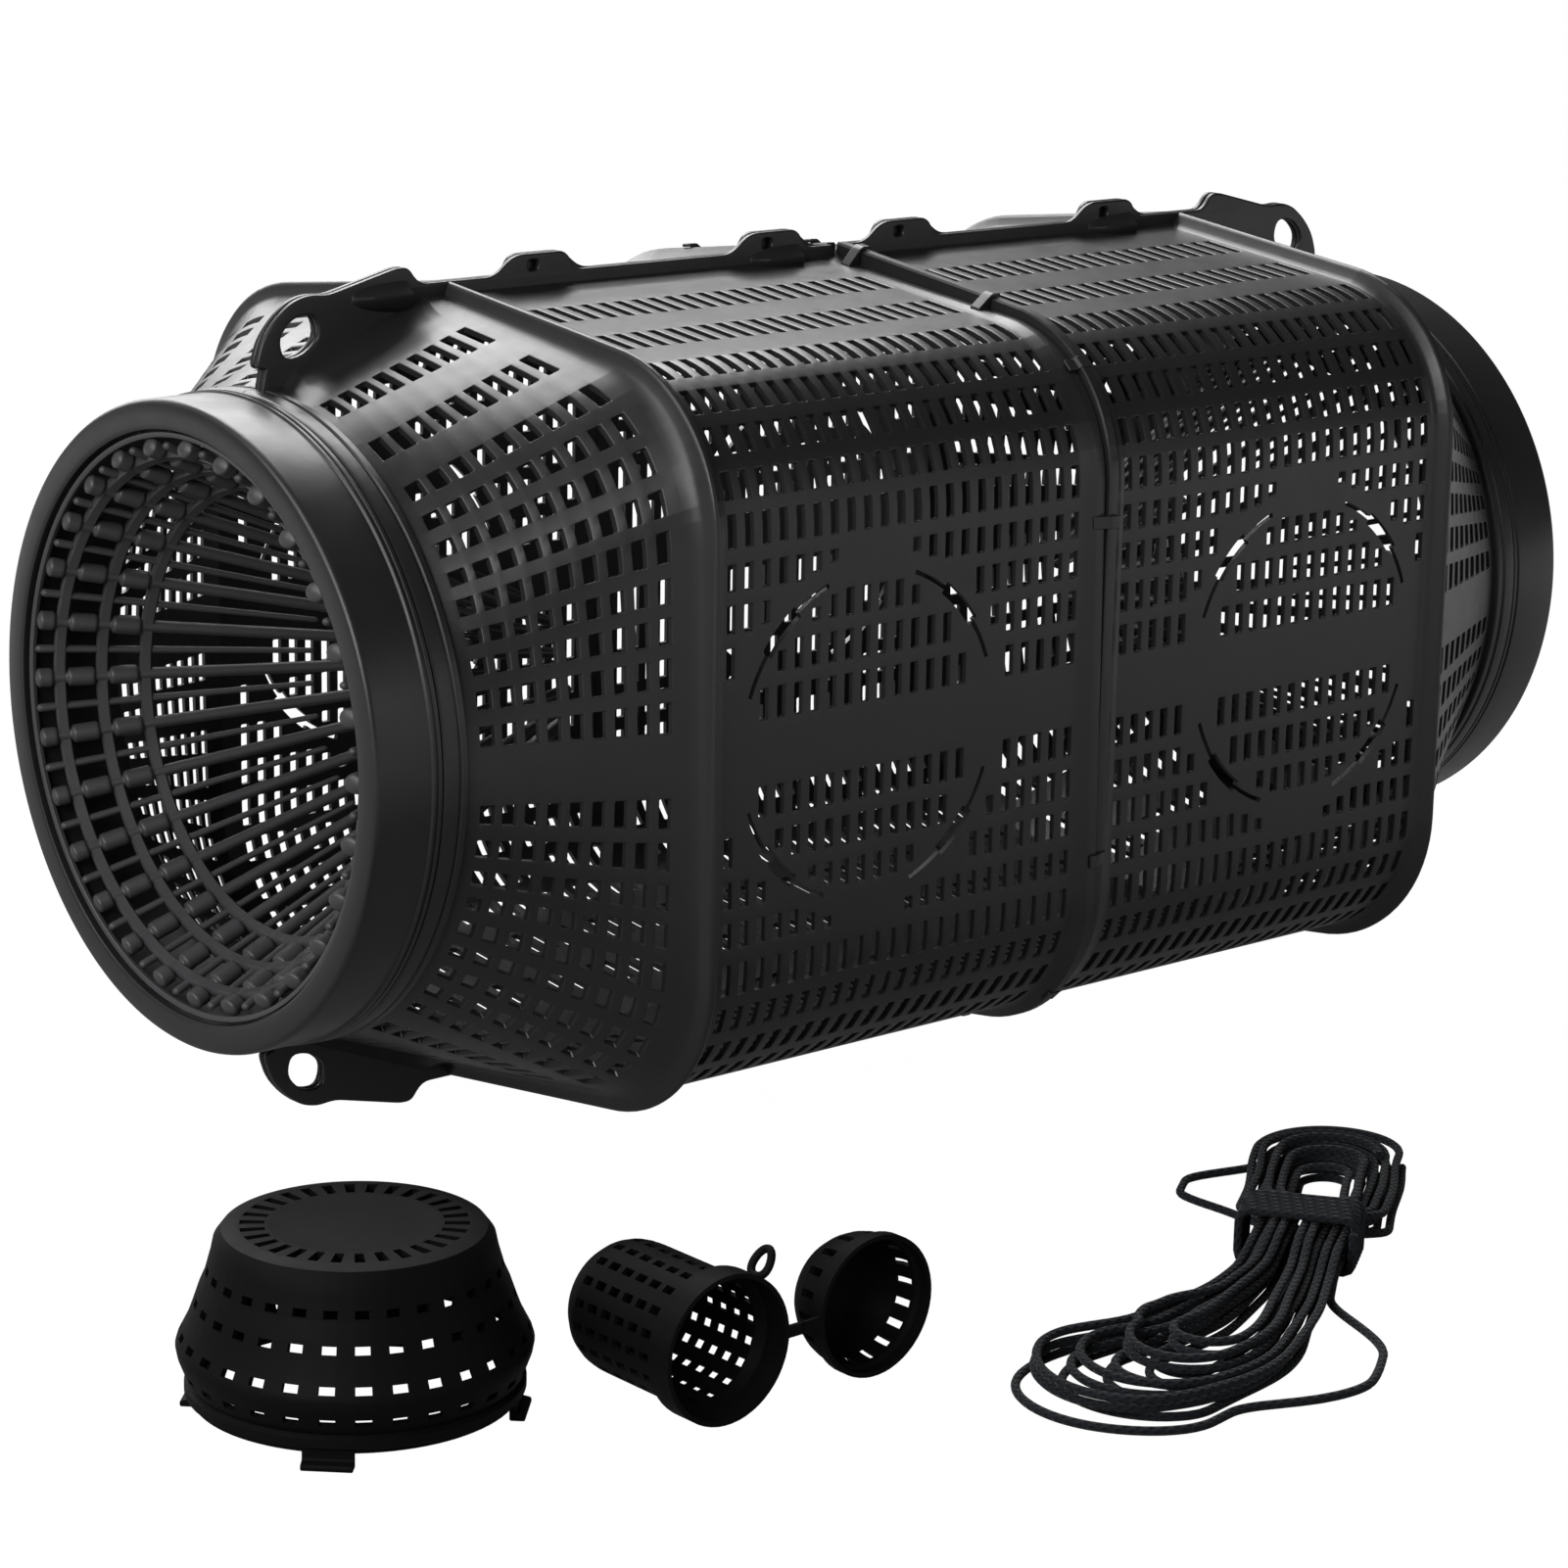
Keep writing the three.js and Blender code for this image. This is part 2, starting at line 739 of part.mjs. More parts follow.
const basketWall = 2;
const basketColumns = 12;
const basketOpenShare = 0.58;
const lugDrop = 5;
const lugHalfWidth = 8;
const lugReach = 3;
const basketShares = [
  [0, 1],
  [0.486, 1],
  [0.667, 1],
  [0.739, 0.973],
  [0.784, 0.9],
  [0.804, 0.85],
  [0.836, 0.742],
  [0.868, 0.675],
  [0.908, 0.567],
  [0.937, 0.5],
  [1, 0.375],
  [0.991, 0.317],
  [0.944, 0.208],
  [0.919, 0.175],
  [0.919, lugDrop / basketHeight],
];
const basketProfile = profileOf(basketShares, basketRadius, basketHeight);
const basketOpenRows = [1, 5, 7, 9, 11];

function basketLug(quarter) {
  const rim = basketProfile[basketProfile.length - 1].radius;
  const stem = boxBetween(
    [rim - basketWall, -lugHalfWidth, 0],
    [rim, lugHalfWidth, lugDrop + basketWall]
  );
  const foot = boxBetween(
    [rim - basketWall, -lugHalfWidth, 0],
    [rim + lugReach, lugHalfWidth, basketWall]
  );
  const turn = radians(quarter * 90 + 45);
  return combine(stem, { added: [foot] }).rotateZ(turn);
}

function baitBasket() {
  const bowl = roundWall(basketProfile, basketWall, basketColumns, basketOpenRows, basketOpenShare);
  return combine(bowl, { added: [0, 1, 2, 3].map(basketLug) });
}

// The bait box lies on its side with its lid swung open on the strap that joins them. Both
// are built about Z, mouth down, and turned so that their mouths face -Y.

const boxWall = 1.6;
const boxColumns = 10;
const boxOpenShare = 0.45;
const bandRadius = 24.5;
const bandLength = 9.5;
const bandSlope = 2;
const lidRadius = 23.5;
const lidDepth = 28;
const strapHalfWidth = 2.6;
const strapThickness = 1.6;
const strapHalfLength = 6;
const mouthSetback = 0.3;
const hangLoopRadius = 5;
const hangLoopCord = 1.3;
const hangLoopTurn = -55;
const hangLoopSides = 6;
const hangLoopSteps = 14;

const cupShares = [
  [0, 1],
  [0.48, 0.973],
  [0.82, 0.9],
  [0.973, 0.8],
  [1, 0.703],
  [1, 0.61],
  [1, 0.516],
  [1, 0.422],
  [1, 0.328],
  [1, 0.22],
];
const cupProfile = [
  ...profileOf(cupShares, boxRadius, boxLength),
  { radius: boxRadius, height: bandLength + bandSlope },
  { radius: bandRadius, height: bandLength },
  { radius: bandRadius, height: mouthSetback },
];
const cupOpenRows = [3, 5, 7, 9];

const lidShares = [
  [0, 1],
  [0.404, 0.929],
  [0.715, 0.743],
  [0.894, 0.486],
  [0.928, 0.307],
  [0.94, 0.2],
  [1, 0.154],
  [1, mouthSetback / lidDepth],
];
const lidProfile = profileOf(lidShares, lidRadius, lidDepth);
const lidOpenRows = [3];

const strapCentre = bandRadius + strapHalfLength;

function halfStrap(innerRadius) {
  const low = [innerRadius, -strapHalfWidth, mouthSetback];
  const high = [strapCentre - halfSeam, strapHalfWidth, mouthSetback + strapThickness];
  return boxBetween(low, high);
}

function hangLoop() {
  const ring = new THREE.TorusGeometry(
    hangLoopRadius,
    hangLoopCord,
    hangLoopSides,
    hangLoopSteps
  );
  const seat = bandRadius + hangLoopRadius - hangLoopCord / 2;
  return ring
    .rotateX(Math.PI / 2)
    .translate(seat, 0, bandLength / 2)
    .rotateZ(radians(hangLoopTurn));
}

function facingFront(geometry) {
  return geometry.rotateX(-Math.PI / 2);
}

function boxCup() {
  const wallPiece = roundWall(cupProfile, boxWall, boxColumns, cupOpenRows, boxOpenShare);
  const strap = halfStrap(bandRadius - boxWall / 2);
  const cup = combine(wallPiece, { added: [strap, hangLoop()] });
  return facingFront(cup);
}

function boxLid() {
  const wallPiece = roundWall(lidProfile, boxWall, boxColumns, lidOpenRows, boxOpenShare);
  const strap = halfStrap(lidRadius - boxWall / 2);
  const lid = combine(wallPiece, { added: [strap.clone().rotateZ(Math.PI)] });
  return facingFront(lid);
}

// The cord's hank: loops nested in each layer, spiralling in and out again layer by layer,
// drawn in to a waist where a tie is wound round them, and bent in plan

const hankNest = 3;
const hankLayers = 4;
const hankPitch = 3.6;
const hankLobePitch = 5;
const nearLobeGap = 8;
const farLobeGap = 24;
const waistFlatHalf = 14;
const waistFlare = 24;
const hankHalfLength = 124;
const stepsPerEnd = 4;
const stepsBeforeWaist = 3;
const stepsAfterWaist = 5;
const cordSides = 6;
const tieTurns = 6;
const tieStepsPerTurn = 16;
const hankStart = [16, -263];
const hankEnd = [-206, -374];
const hankPlanShares = [
  [0, 0],
  [0.275, 0.423],
  [0.55, 0.784],
  [0.784, 0.982],
  [1, 1],
];
const climbTurns = 0.5;
const waistShare = 0.42;
const waistLift = cordDiameter + 2 * fitGap;
const strayLoops = [
  { loop: 0, side: 1, centreShare: 0.5, reach: 22, halfLength: 48 },
  { loop: 0, side: -1, centreShare: -0.68, reach: 26, halfLength: 34 },
];

function hankSpine() {
  const places = hankPlanShares.map(([xShare, yShare]) => {
    const x = mix(hankStart[0], hankEnd[0], xShare);
    const y = mix(hankStart[1], hankEnd[1], yShare);
    return new THREE.Vector3(x, y, 0);
  });
  return new THREE.CatmullRomCurve3(places, false, "catmullrom");
}

const spine = hankSpine();
const spineLength = spine.getLength();
const waistAlong = mix(-hankHalfLength, hankHalfLength, waistShare);
const waistEdges = [waistAlong - waistFlatHalf, waistAlong + waistFlatHalf];
const sideStops = [
  ...evenSteps(-hankHalfLength, waistEdges[0], stepsBeforeWaist),
  ...evenSteps(waistEdges[1], hankHalfLength, stepsAfterWaist),
];
const stepsPerSide = sideStops.length - 1;

function onPlan(along, aside, height) {
  const share = (along + spineLength / 2) / spineLength;
  const held = Math.min(Math.max(share, 0), 1);
  const place = spine.getPointAt(held);
  const forward = spine.getTangentAt(held);
  const beyond = (share - held) * spineLength;
  const side = new THREE.Vector3(-forward.y, forward.x, 0);
  return place.addScaledVector(forward, beyond).addScaledVector(side, aside).setZ(height);
}

function lobeShareAt(along) {
  return smooth((Math.abs(along - waistAlong) - waistFlatHalf) / waistFlare);
}

function farOpening(along) {
  const waistEnd = waistEdges[1];
  return smooth((along - waistEnd) / (hankHalfLength - waistEnd));
}

function hankAside(along, nest) {
  const lobe = lobeShareAt(along);
  const pitch = mix(hankPitch, hankLobePitch, lobe);
  const lobeGap = along < waistAlong ? nearLobeGap : farLobeGap;
  const firstGap = mix(hankPitch / 2, lobeGap, along < waistAlong ? lobe : farOpening(along));
  return firstGap + (hankNest - nest) * pitch;
}

function stopAt(step) {
  const before = Math.min(Math.floor(step), stepsPerSide - 1);
  return mix(sideStops[before], sideStops[before + 1], step - before);
}

// One loop is out along one side, round the far end, back along the other and round again

function loopPlace(loopShare, nest) {
  const steps = 2 * (stepsPerSide + stepsPerEnd);
  const step = loopShare * steps;
  const outEnd = stepsPerSide;
  const farEnd = stepsPerSide + stepsPerEnd;
  const backEnd = 2 * stepsPerSide + stepsPerEnd;
  if (step <= outEnd) {
    const along = stopAt(step);
    return { along, aside: hankAside(along, nest), side: 1 };
  }
  if (step > farEnd && step <= backEnd) {
    const along = stopAt(backEnd - step);
    return { along, aside: -hankAside(along, nest), side: -1 };
  }
  const far = step <= farEnd;
  const turnShare = far ? (step - outEnd) / stepsPerEnd : (step - backEnd) / stepsPerEnd;
  const upDown = far ? 1 : -1;
  const centre = upDown * hankHalfLength;
  const radius = hankAside(centre, nest);
  const turn = Math.PI * turnShare;
  return {
    along: centre + upDown * radius * Math.sin(turn),
    aside: upDown * radius * Math.cos(turn),
    side: 0,
  };
}

function layerHeight(turns) {
  const layer = Math.round(turns / hankNest);
  const climbShare = smooth((turns - layer * hankNest) / climbTurns + 1 / 2);
  const level = Math.min(Math.max(layer - 1 + climbShare, 0), hankLayers - 1);
  return level * hankPitch;
}

function hankPoint(turns) {
  const layer = Math.min(Math.floor(turns / hankNest), hankLayers - 1);
  const within = turns - layer * hankNest;
  const nest = layer % 2 === 0 ? within : hankNest - within;
  const loop = Math.floor(turns);
  const { along, aside, side } = loopPlace(turns - loop, nest);
  const stray = strayLoops.find((each) => each.loop === loop && each.side === side);
  const strayCentre = stray ? stray.centreShare * hankHalfLength : 0;
  const strayAway = stray ? Math.abs(along - strayCentre) / stray.halfLength : 1;
  const bulge = stray ? side * stray.reach * smooth(1 - strayAway) : 0;
  const lifted = (1 - lobeShareAt(along)) * waistLift;
  const height = cordDiameter / 2 + lifted + layerHeight(turns);
  return onPlan(along, aside + bulge, height);
}

// A curve whose steps are its own parameter's, so that tight turns keep their share of them

class SteppedCurve extends THREE.Curve {
  constructor(placeAt) {
    super();
    this.placeAt = placeAt;
  }

  getPoint(share) {
    return this.placeAt(share);
  }

  getPointAt(share) {
    return this.placeAt(share);
  }

  getTangentAt(share) {
    return this.getTangent(share);
  }
}

function cordAlong(curve, steps) {
  const corners = Array.from({ length: cordSides }, (_, side) => {
    const turn = (2 * Math.PI * side) / cordSides;
    const radius = cordDiameter / 2;
    return new THREE.Vector2(radius * Math.cos(turn), radius * Math.sin(turn));
  });
  return new THREE.ExtrudeGeometry(new THREE.Shape(corners), { steps, extrudePath: curve });
}

const hankTurns = hankNest * hankLayers;
const hankSteps = hankTurns * 2 * (stepsPerSide + stepsPerEnd);
const hankCurve = new SteppedCurve((share) => hankPoint(share * hankTurns));

// The tie winds round the waist as a rounded rectangle that climbs one pitch in each turn

const tieCornerRadius = cordDiameter + 1.5 * fitGap;
const tieCornerShare = 0.75;
const tieHalfWidth = hankAside(waistAlong, 0);
const tieHalfHeight = ((hankLayers - 1) * hankPitch) / 2;
const tieMiddle = cordDiameter / 2 + waistLift + tieHalfHeight;

function tieCorner(quarter, turn) {
  const right = quarter % 4 === 0 || quarter % 4 === 3;
  const upper = quarter % 4 < 2;
  return new THREE.Vector2(
    (right ? tieHalfWidth : -tieHalfWidth) + tieCornerRadius * Math.cos(turn),
    tieMiddle + (upper ? tieHalfHeight : -tieHalfHeight) + tieCornerRadius * Math.sin(turn)
  );
}

function tiePoint(turns) {
  const quarter = Math.floor(turns * 4);
  const within = turns * 4 - quarter;
  const turn = (quarter + Math.min(within / tieCornerShare, 1)) * (Math.PI / 2);
  const section = tieCorner(quarter, turn);
  if (within > tieCornerShare) {
    section.lerp(tieCorner(quarter + 1, turn), (within - tieCornerShare) / (1 - tieCornerShare));
  }
  const along = waistAlong + (turns - tieTurns / 2) * hankPitch;
  return onPlan(along, section.x, section.y);
}

const tieCurve = new SteppedCurve((share) => tiePoint(share * tieTurns));

// The least distance between two stretches of cord, less the cord's own thickness

function leastGap(first, second, skip) {
  let least = Infinity;
  first.forEach((place, index) => {
    second.forEach((other, otherIndex) => {
      if (first !== second || otherIndex - index > skip) {
        least = Math.min(least, place.distanceTo(other));
      }
    });
  });
  return least - cordDiameter;
}

function reportCordGaps() {
  const finer = 6;
  const finely = (curve, steps) => {
    const places = curve.getSpacedPoints(steps);
    const between = (place, index) =>
      evenSteps(0, 1, finer).slice(1).map((share) => places[index].clone().lerp(place, share));
    return [places[0], ...places.slice(1).flatMap(between)];
  };
  const hankPlaces = finely(hankCurve, hankSteps);
  const tiePlaces = finely(tieCurve, tieTurns * tieStepsPerTurn);
  const stretches = hankPlaces.slice(1).map((place, index) => place.distanceTo(hankPlaces[index]));
  const length = stretches.reduce((sum, stretch) => sum + stretch, 0);
  const halfLoop = (stepsPerSide + stepsPerEnd) * finer;
  const halfTurn = (tieStepsPerTurn * finer) / 2;
  const gaps = {
    "hank to itself": leastGap(hankPlaces, hankPlaces, halfLoop / 2),
    "tie to itself": leastGap(tiePlaces, tiePlaces, halfTurn),
    "tie to hank": leastGap(tiePlaces, hankPlaces, 0),
  };
  console.log("hank length", Math.round(length), "mm");
  Object.entries(gaps).forEach(([name, gap]) => {
    console.log("least gap,", name, gap.toFixed(2), "mm");
  });
}

// The floor that everything stands on is at height 0, and the trap's axis runs above it

const basketPlace = [-396, -232];
const cupPlace = [-316, -317];

function buildKit() {
  const kit = new THREE.Group();
  const basket = meshOf("bait_basket", baitBasket(), softBlackPlastic);
  basket.position.set(basketPlace[0], basketPlace[1], 0);
  const cup = meshOf("bait_box_cup", boxCup(), softBlackPlastic);
  cup.position.set(cupPlace[0], cupPlace[1], bandRadius);
  const lid = meshOf("bait_box_lid", boxLid(), softBlackPlastic);
  lid.position.set(cupPlace[0] + 2 * strapCentre, cupPlace[1], bandRadius);
  kit.add(basket, cup, lid);
  kit.add(meshOf("cord_hank", cordAlong(hankCurve, hankSteps), blackCord));
  kit.add(meshOf("cord_tie", cordAlong(tieCurve, tieTurns * tieStepsPerTurn), blackCord));
  return kit;
}

function buildTrap() {
  const trap = new THREE.Group();
  trap.add(...trapShells(), entry("near"), entry("far"));
  trap.position.z = tabTip;
  return trap;
}

// The origin is on the floor under the middle of everything but the cord

function centreOnFloor(group) {
  const box = new THREE.Box3();
  group.updateMatrixWorld(true);
  group.traverse((mesh) => {
    if (mesh.isMesh && !mesh.name.startsWith("cord")) {
      box.expandByObject(mesh, true);
    }
  });
  const centre = box.getCenter(new THREE.Vector3());
  group.position.set(-centre.x, -centre.y, -box.min.z);
  console.log("origin moved to", group.position.toArray().map((value) => value.toFixed(3)));
}

reportCordGaps();

const group = new THREE.Group();
group.add(buildTrap(), buildKit());
centreOnFloor(group);

export default group;
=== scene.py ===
"""Looks of a moulded minnow trap with its bait basket, its bait box and its hank of cord.

Lengths are named in millimetres, as on the trap's drawing, and meshes are made in metres.
"""

import math

import bmesh
import bpy
import numpy as np
from mathutils import Matrix, Vector


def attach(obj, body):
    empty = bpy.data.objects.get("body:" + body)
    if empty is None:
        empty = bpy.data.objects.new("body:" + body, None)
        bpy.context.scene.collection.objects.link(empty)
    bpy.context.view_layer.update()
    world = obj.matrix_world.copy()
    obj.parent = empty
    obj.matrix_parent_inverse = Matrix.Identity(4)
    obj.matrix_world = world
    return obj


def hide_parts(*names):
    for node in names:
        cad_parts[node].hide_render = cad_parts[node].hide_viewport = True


MM = 0.001

# Driving dimensions of the trap

TRAP_LENGTH = 610.0
RIB_HALF_WIDTH = 156.0
CORNER_RADIUS = 62.0
FLAT_HALF_HEIGHT = 77.0
ROOF_SLOPE = 0.12
WALL = 2.2
RIB_STAND = 5.5
MIDDLE_STAND_MOST = 6.0
TAB_TIP = 158.0
HALF_SEAM = 0.2
HALF_LENGTH = TRAP_LENGTH / 2
RIB_START = 187.5
RIB_END = 189.5
CONE_END = 266.0
CONE_END_RADIUS = 116.0
NECK_END = 277.0
FLANGE_FRONT = 272.5
FLANGE_BACK = 267.2
FLANGE_RADIUS = 109.8
FLANGE_STEP = 0.01
NECK_BEAD = 2.4
NECK_GROOVE = 1.5

# Where the trap's middle, the basket and the bait box are in the shared frame

TRAP_MIDDLE = Vector((73.25, 81.196, 158.0)) * MM
BASKET_FOOT = Vector((-322.75, -150.804, 0.0)) * MM
CUP_MOUTH = Vector((-242.75, -235.804, 24.5)) * MM
LID_MOUTH = Vector((-181.75, -235.804, 24.5)) * MM

# Slots of the moulded shells

SLOT_BEVEL = 0.3
SLOT_BEVEL_DEPTH = 0.2
SLOT_CORNER = 0.4
BARREL_SLOT_WIDTH = 3.9
BARREL_SLOT_COUNT = 22
BARREL_SLOT_FIRST = 13.6
BARREL_SLOT_LAST = 178.2
CONE_SLOT_COUNT = 9
CONE_SLOT_FIRST = 202.0
CONE_SLOT_LAST = 259.0
CONE_SLOT_WIDTHS = (3.9, 4.7)
CONE_SLOT_SHRINK = 0.8
CONE_TERRACE = 0.06
LINE_SLACK = 1e-6
SLOT_ROWS = (
    (28, 47), (67, 86), (104, 118), (125, 136.5), (142, 153), (159, 169), (174, 186),
    (191.5, 201), (206, 216), (221, 232), (237, 248.5),
)
LONGEST_STEP = 5.0
SEAM_FILLET_WALKS = (2.6, 4.0, 5.5, 7.0, 9.0, 12.0, 15.0, 19.0)
FILLET_RISES = (2.8, 7.0)
FILLET_WIDTHS = (9.0, 19.0)
FILLET_FADE = 8.0

# The bayonet seat's ring on the flat side

SEAT_CENTRE = 113.0
SEAT_RADIUS = 60.0
SEAT_INNER_CLEAR = 56.5
SEAT_OUTER_CLEAR = 66.5
SEAT_SHORTEST_SLOT = 4.0
SEAT_SLOT_HALF_ANGLE = 25.0
SEAT_SLOT_WIDTH = 1.8
SEAT_LUG_HALF_ANGLE = 9.5
SEAT_LUG_WIDTH = 5.0
SEAT_STEPS = 10
SEAT_CUTTER_DEPTH = 6 * WALL


# Helpers for meshes, and the angles over which an edge of each kind of piece is sharp

SHARP_DEGREES = 35.0
BOWL_DEGREES = 30.0
LATHED_DEGREES = 40.0
FUNNEL_DEGREES = 45.0
SHEET_DEGREES = 50.0
ROUND_DEGREES = 60.0
MERGE_DISTANCE = 1e-6
CORNER_REACH_MOST = 0.45
ROUNDING_STEPS = 4


def mix(start, end, share):
    """The value that lies at this share of the way from start to end."""
    return start + (end - start) * share


def smooth(share):
    """A share from 0 to 1 that starts and ends gently."""
    held = np.clip(share, 0, 1)
    return held * held * (3 - 2 * held)


def turned(degrees, axis="Z"):
    """The matrix of a turn about an axis."""
    return Matrix.Rotation(math.radians(degrees), 4, axis)


def new_object(name, data):
    """An object of this mesh, curve, camera or lamp, put into the scene."""
    obj = bpy.data.objects.new(name, data)
    bpy.context.scene.collection.objects.link(obj)
    return obj


def lengths_along(path):
    """How far along the path each of its points lies."""
    return np.concatenate([[0], np.cumsum(np.linalg.norm(np.diff(path, axis=0), axis=1))])


def resampled(path, lengths, wanted):
    """The places at the wanted lengths of a path whose points lie at these lengths."""
    return np.stack([np.interp(wanted, lengths, column) for column in path.T], axis=1)


def evenly(path, steps):
    """The same path as points an equal distance apart."""
    lengths = lengths_along(path)
    return resampled(path, lengths, np.linspace(0, lengths[-1], steps + 1))


def mesh_object(name, vertices, faces, sharp_degrees=SHARP_DEGREES, scale=MM):
    """An object of these vertices and faces, smooth but for the edges over an angle."""
    mesh = bpy.data.meshes.new(name)
    mesh.from_pydata((np.asarray(vertices, float) * scale).tolist(), [], faces)
    mesh.update()
    obj = new_object(name, mesh)
    shade(obj, sharp_degrees)
    return obj


def shade(obj, sharp_degrees):
    """Cleans the mesh, points its faces outwards and marks its sharp edges."""
    work = bmesh.new()
    work.from_mesh(obj.data)
    bmesh.ops.remove_doubles(work, verts=work.verts, dist=MERGE_DISTANCE)
    loose = [vertex for vertex in work.verts if not vertex.link_faces]
    bmesh.ops.delete(work, geom=loose, context="VERTS")
    bmesh.ops.recalc_face_normals(work, faces=work.faces)
    limit = math.radians(sharp_degrees)
    for face in work.faces:
        face.smooth = True
    for edge in work.edges:
        edge.smooth = edge.is_manifold and edge.calc_face_angle(0.0) < limit
    work.to_mesh(obj.data)
    work.free()


def joined(name, pieces):
    """One object made of several, with their meshes put together."""
    vertices = []
    faces = []
    for piece in pieces:
        start = len(vertices)
        vertices += [tuple(piece.matrix_world @ vertex.co) for vertex in piece.data.vertices]
        faces += [[start + index for index in face.vertices] for face in piece.data.polygons]
        mesh = piece.data
        bpy.data.objects.remove(piece)
        bpy.data.meshes.remove(mesh)
    return mesh_object(name, vertices, faces, scale=1.0)


def stand_for(obj, material, body, node):
    """Gives a piece its finish and lets it move with a body in place of a node of the CAD."""
    obj.data.materials.clear()
    obj.data.materials.append(material)
    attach(obj, body)
    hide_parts(node)


def trap_copy(source, node, turn):
    """A copy of a piece, turned about the trap's middle."""
    copy = new_object("moulded_" + node, source.data)
    copy.matrix_world = Matrix.Translation(TRAP_MIDDLE) @ turn
    return copy


def keep_flats(obj):
    """Weighted normals keep the flat faces flat beside their rounded edges."""
    weighted = obj.modifiers.new("flats", "WEIGHTED_NORMAL")
    weighted.keep_sharp = True


def grid_sheet(outer, inner, is_open, closed_round=False):
    """Vertices and faces of a wall between two grids of points, with open cells left out."""
    rows, columns = outer.shape[:2]
    row_cells = rows - 1
    column_cells = columns if closed_round else columns - 1
    solid = np.zeros((row_cells + 2, column_cells + 2), bool)
    solid[1:-1, 1:-1] = ~is_open
    if closed_round:
        solid[:, 0] = solid[:, -2]
        solid[:, -1] = solid[:, 1]
    count = rows * columns
    vertices = np.concatenate([outer.reshape(-1, 3), inner.reshape(-1, 3)])
    faces = []
    for row, cell in np.argwhere(solid[1:-1, 1:-1]):
        after = (cell + 1) % columns
        corners = (
            row * columns + cell,
            (row + 1) * columns + cell,
            (row + 1) * columns + after,
            row * columns + after,
        )
        faces.append(corners)
        faces.append(tuple(count + corner for corner in reversed(corners)))
        beyond = (
            solid[row + 1, cell],
            solid[row + 2, cell + 1],
            solid[row + 1, cell + 2],
            solid[row, cell + 1],
        )
        for side, closed in enumerate(beyond):
            if not closed:
                first, second = corners[side], corners[(side + 1) % 4]
                faces.append((second, first, count + first, count + second))
    return vertices, faces


def ring_faces(start, end, count):
    """The faces between two rings of points, given by the number of each one's first."""
    steps = [(here, (here + 1) % count) for here in range(count)]
    return [(start + here, start + after, end + after, end + here) for here, after in steps]


def stack_faces(rings, count):
    """The faces of a row of rings, closed at both of its ends."""
    faces = []
    for ring in range(rings - 1):
        faces += ring_faces(ring * count, (ring + 1) * count, count)
    last = (rings - 1) * count
    return [*faces, tuple(reversed(range(count))), tuple(range(last, last + count))]


def lathe(profile, segments):
    """A closed ring turned about X. The profile is (along, radius) places that close."""
    profile = np.asarray(profile, float)
    turns = np.linspace(0, 2 * math.pi, segments, endpoint=False)
    along = np.broadcast_to(profile[:, :1], (len(profile), segments))
    up = profile[:, 1:] * np.cos(turns)
    side = profile[:, 1:] * np.sin(turns)
    vertices = np.stack([along, side, up], axis=2).reshape(-1, 3)
    faces = []
    for row in range(len(profile)):
        below = (row + 1) % len(profile)
        faces += ring_faces(row * segments, below * segments, segments)
    return vertices, faces


def frames_along(path):
    """The side and up directions of a path, carried along without twist."""
    forward = np.gradient(path, axis=0)
    forward /= np.linalg.norm(forward, axis=1, keepdims=True)
    start = np.array([0.0, 0.0, 1.0])
    if abs(forward[0] @ start) > 0.9:
        start = np.array([0.0, 1.0, 0.0])
    side = np.zeros_like(path)
    side[0] = np.cross(forward[0], start)
    side[0] /= np.linalg.norm(side[0])
    for index in range(1, len(path)):
        carried = side[index - 1] - forward[index] * (side[index - 1] @ forward[index])
        side[index] = carried / np.linalg.norm(carried)
    return side, np.cross(side, forward)


def tube(path, radii, sides, flatness=1.0):
    """Vertices and faces of a closed tube along a path, with a radius at each point."""
    path = np.asarray(path, float)
    radii = np.broadcast_to(np.asarray(radii, float), (len(path),))
    side, up = frames_along(path)
    turns = np.linspace(0, 2 * math.pi, sides, endpoint=False)
    across = side[:, None, :] * np.cos(turns)[None, :, None]
    upward = up[:, None, :] * np.sin(turns)[None, :, None] * flatness
    rings = path[:, None, :] + (across + upward) * radii[:, None, None]
    return rings.reshape(-1, 3), stack_faces(len(path), sides)


def gathered(parts):
    """Several (vertices, faces) pairs as one."""
    vertices = []
    faces = []
    start = 0
    for part_vertices, part_faces in parts:
        vertices.append(np.asarray(part_vertices, float))
        faces += [tuple(start + index for index in face) for face in part_faces]
        start += len(part_vertices)
    return np.concatenate(vertices), faces


def plate(name, outline, thickness, bevel, holes=()):
    """A bevelled plate in the plane of X and Z, centred on Y = 0, with its holes."""
    curve = bpy.data.curves.new(name, "CURVE")
    curve.dimensions = "2D"
    curve.fill_mode = "BOTH"
    curve.extrude = (thickness / 2 - bevel) * MM
    curve.bevel_depth = bevel * MM
    curve.bevel_resolution = 2
    curve.offset = -bevel * MM
    for ring in (outline, *holes):
        spline = curve.splines.new("POLY")
        spline.points.add(len(ring) - 1)
        for point, (x, z) in zip(spline.points, ring):
            point.co = (x * MM, z * MM, 0, 1)
        spline.use_cyclic_u = True
    drawn = new_object(name, curve)
    mesh = bpy.data.meshes.new_from_object(drawn)
    bpy.data.objects.remove(drawn)
    mesh.transform(turned(90, "X"))
    obj = new_object(name, mesh)
    shade(obj, SHARP_DEGREES)
    return obj


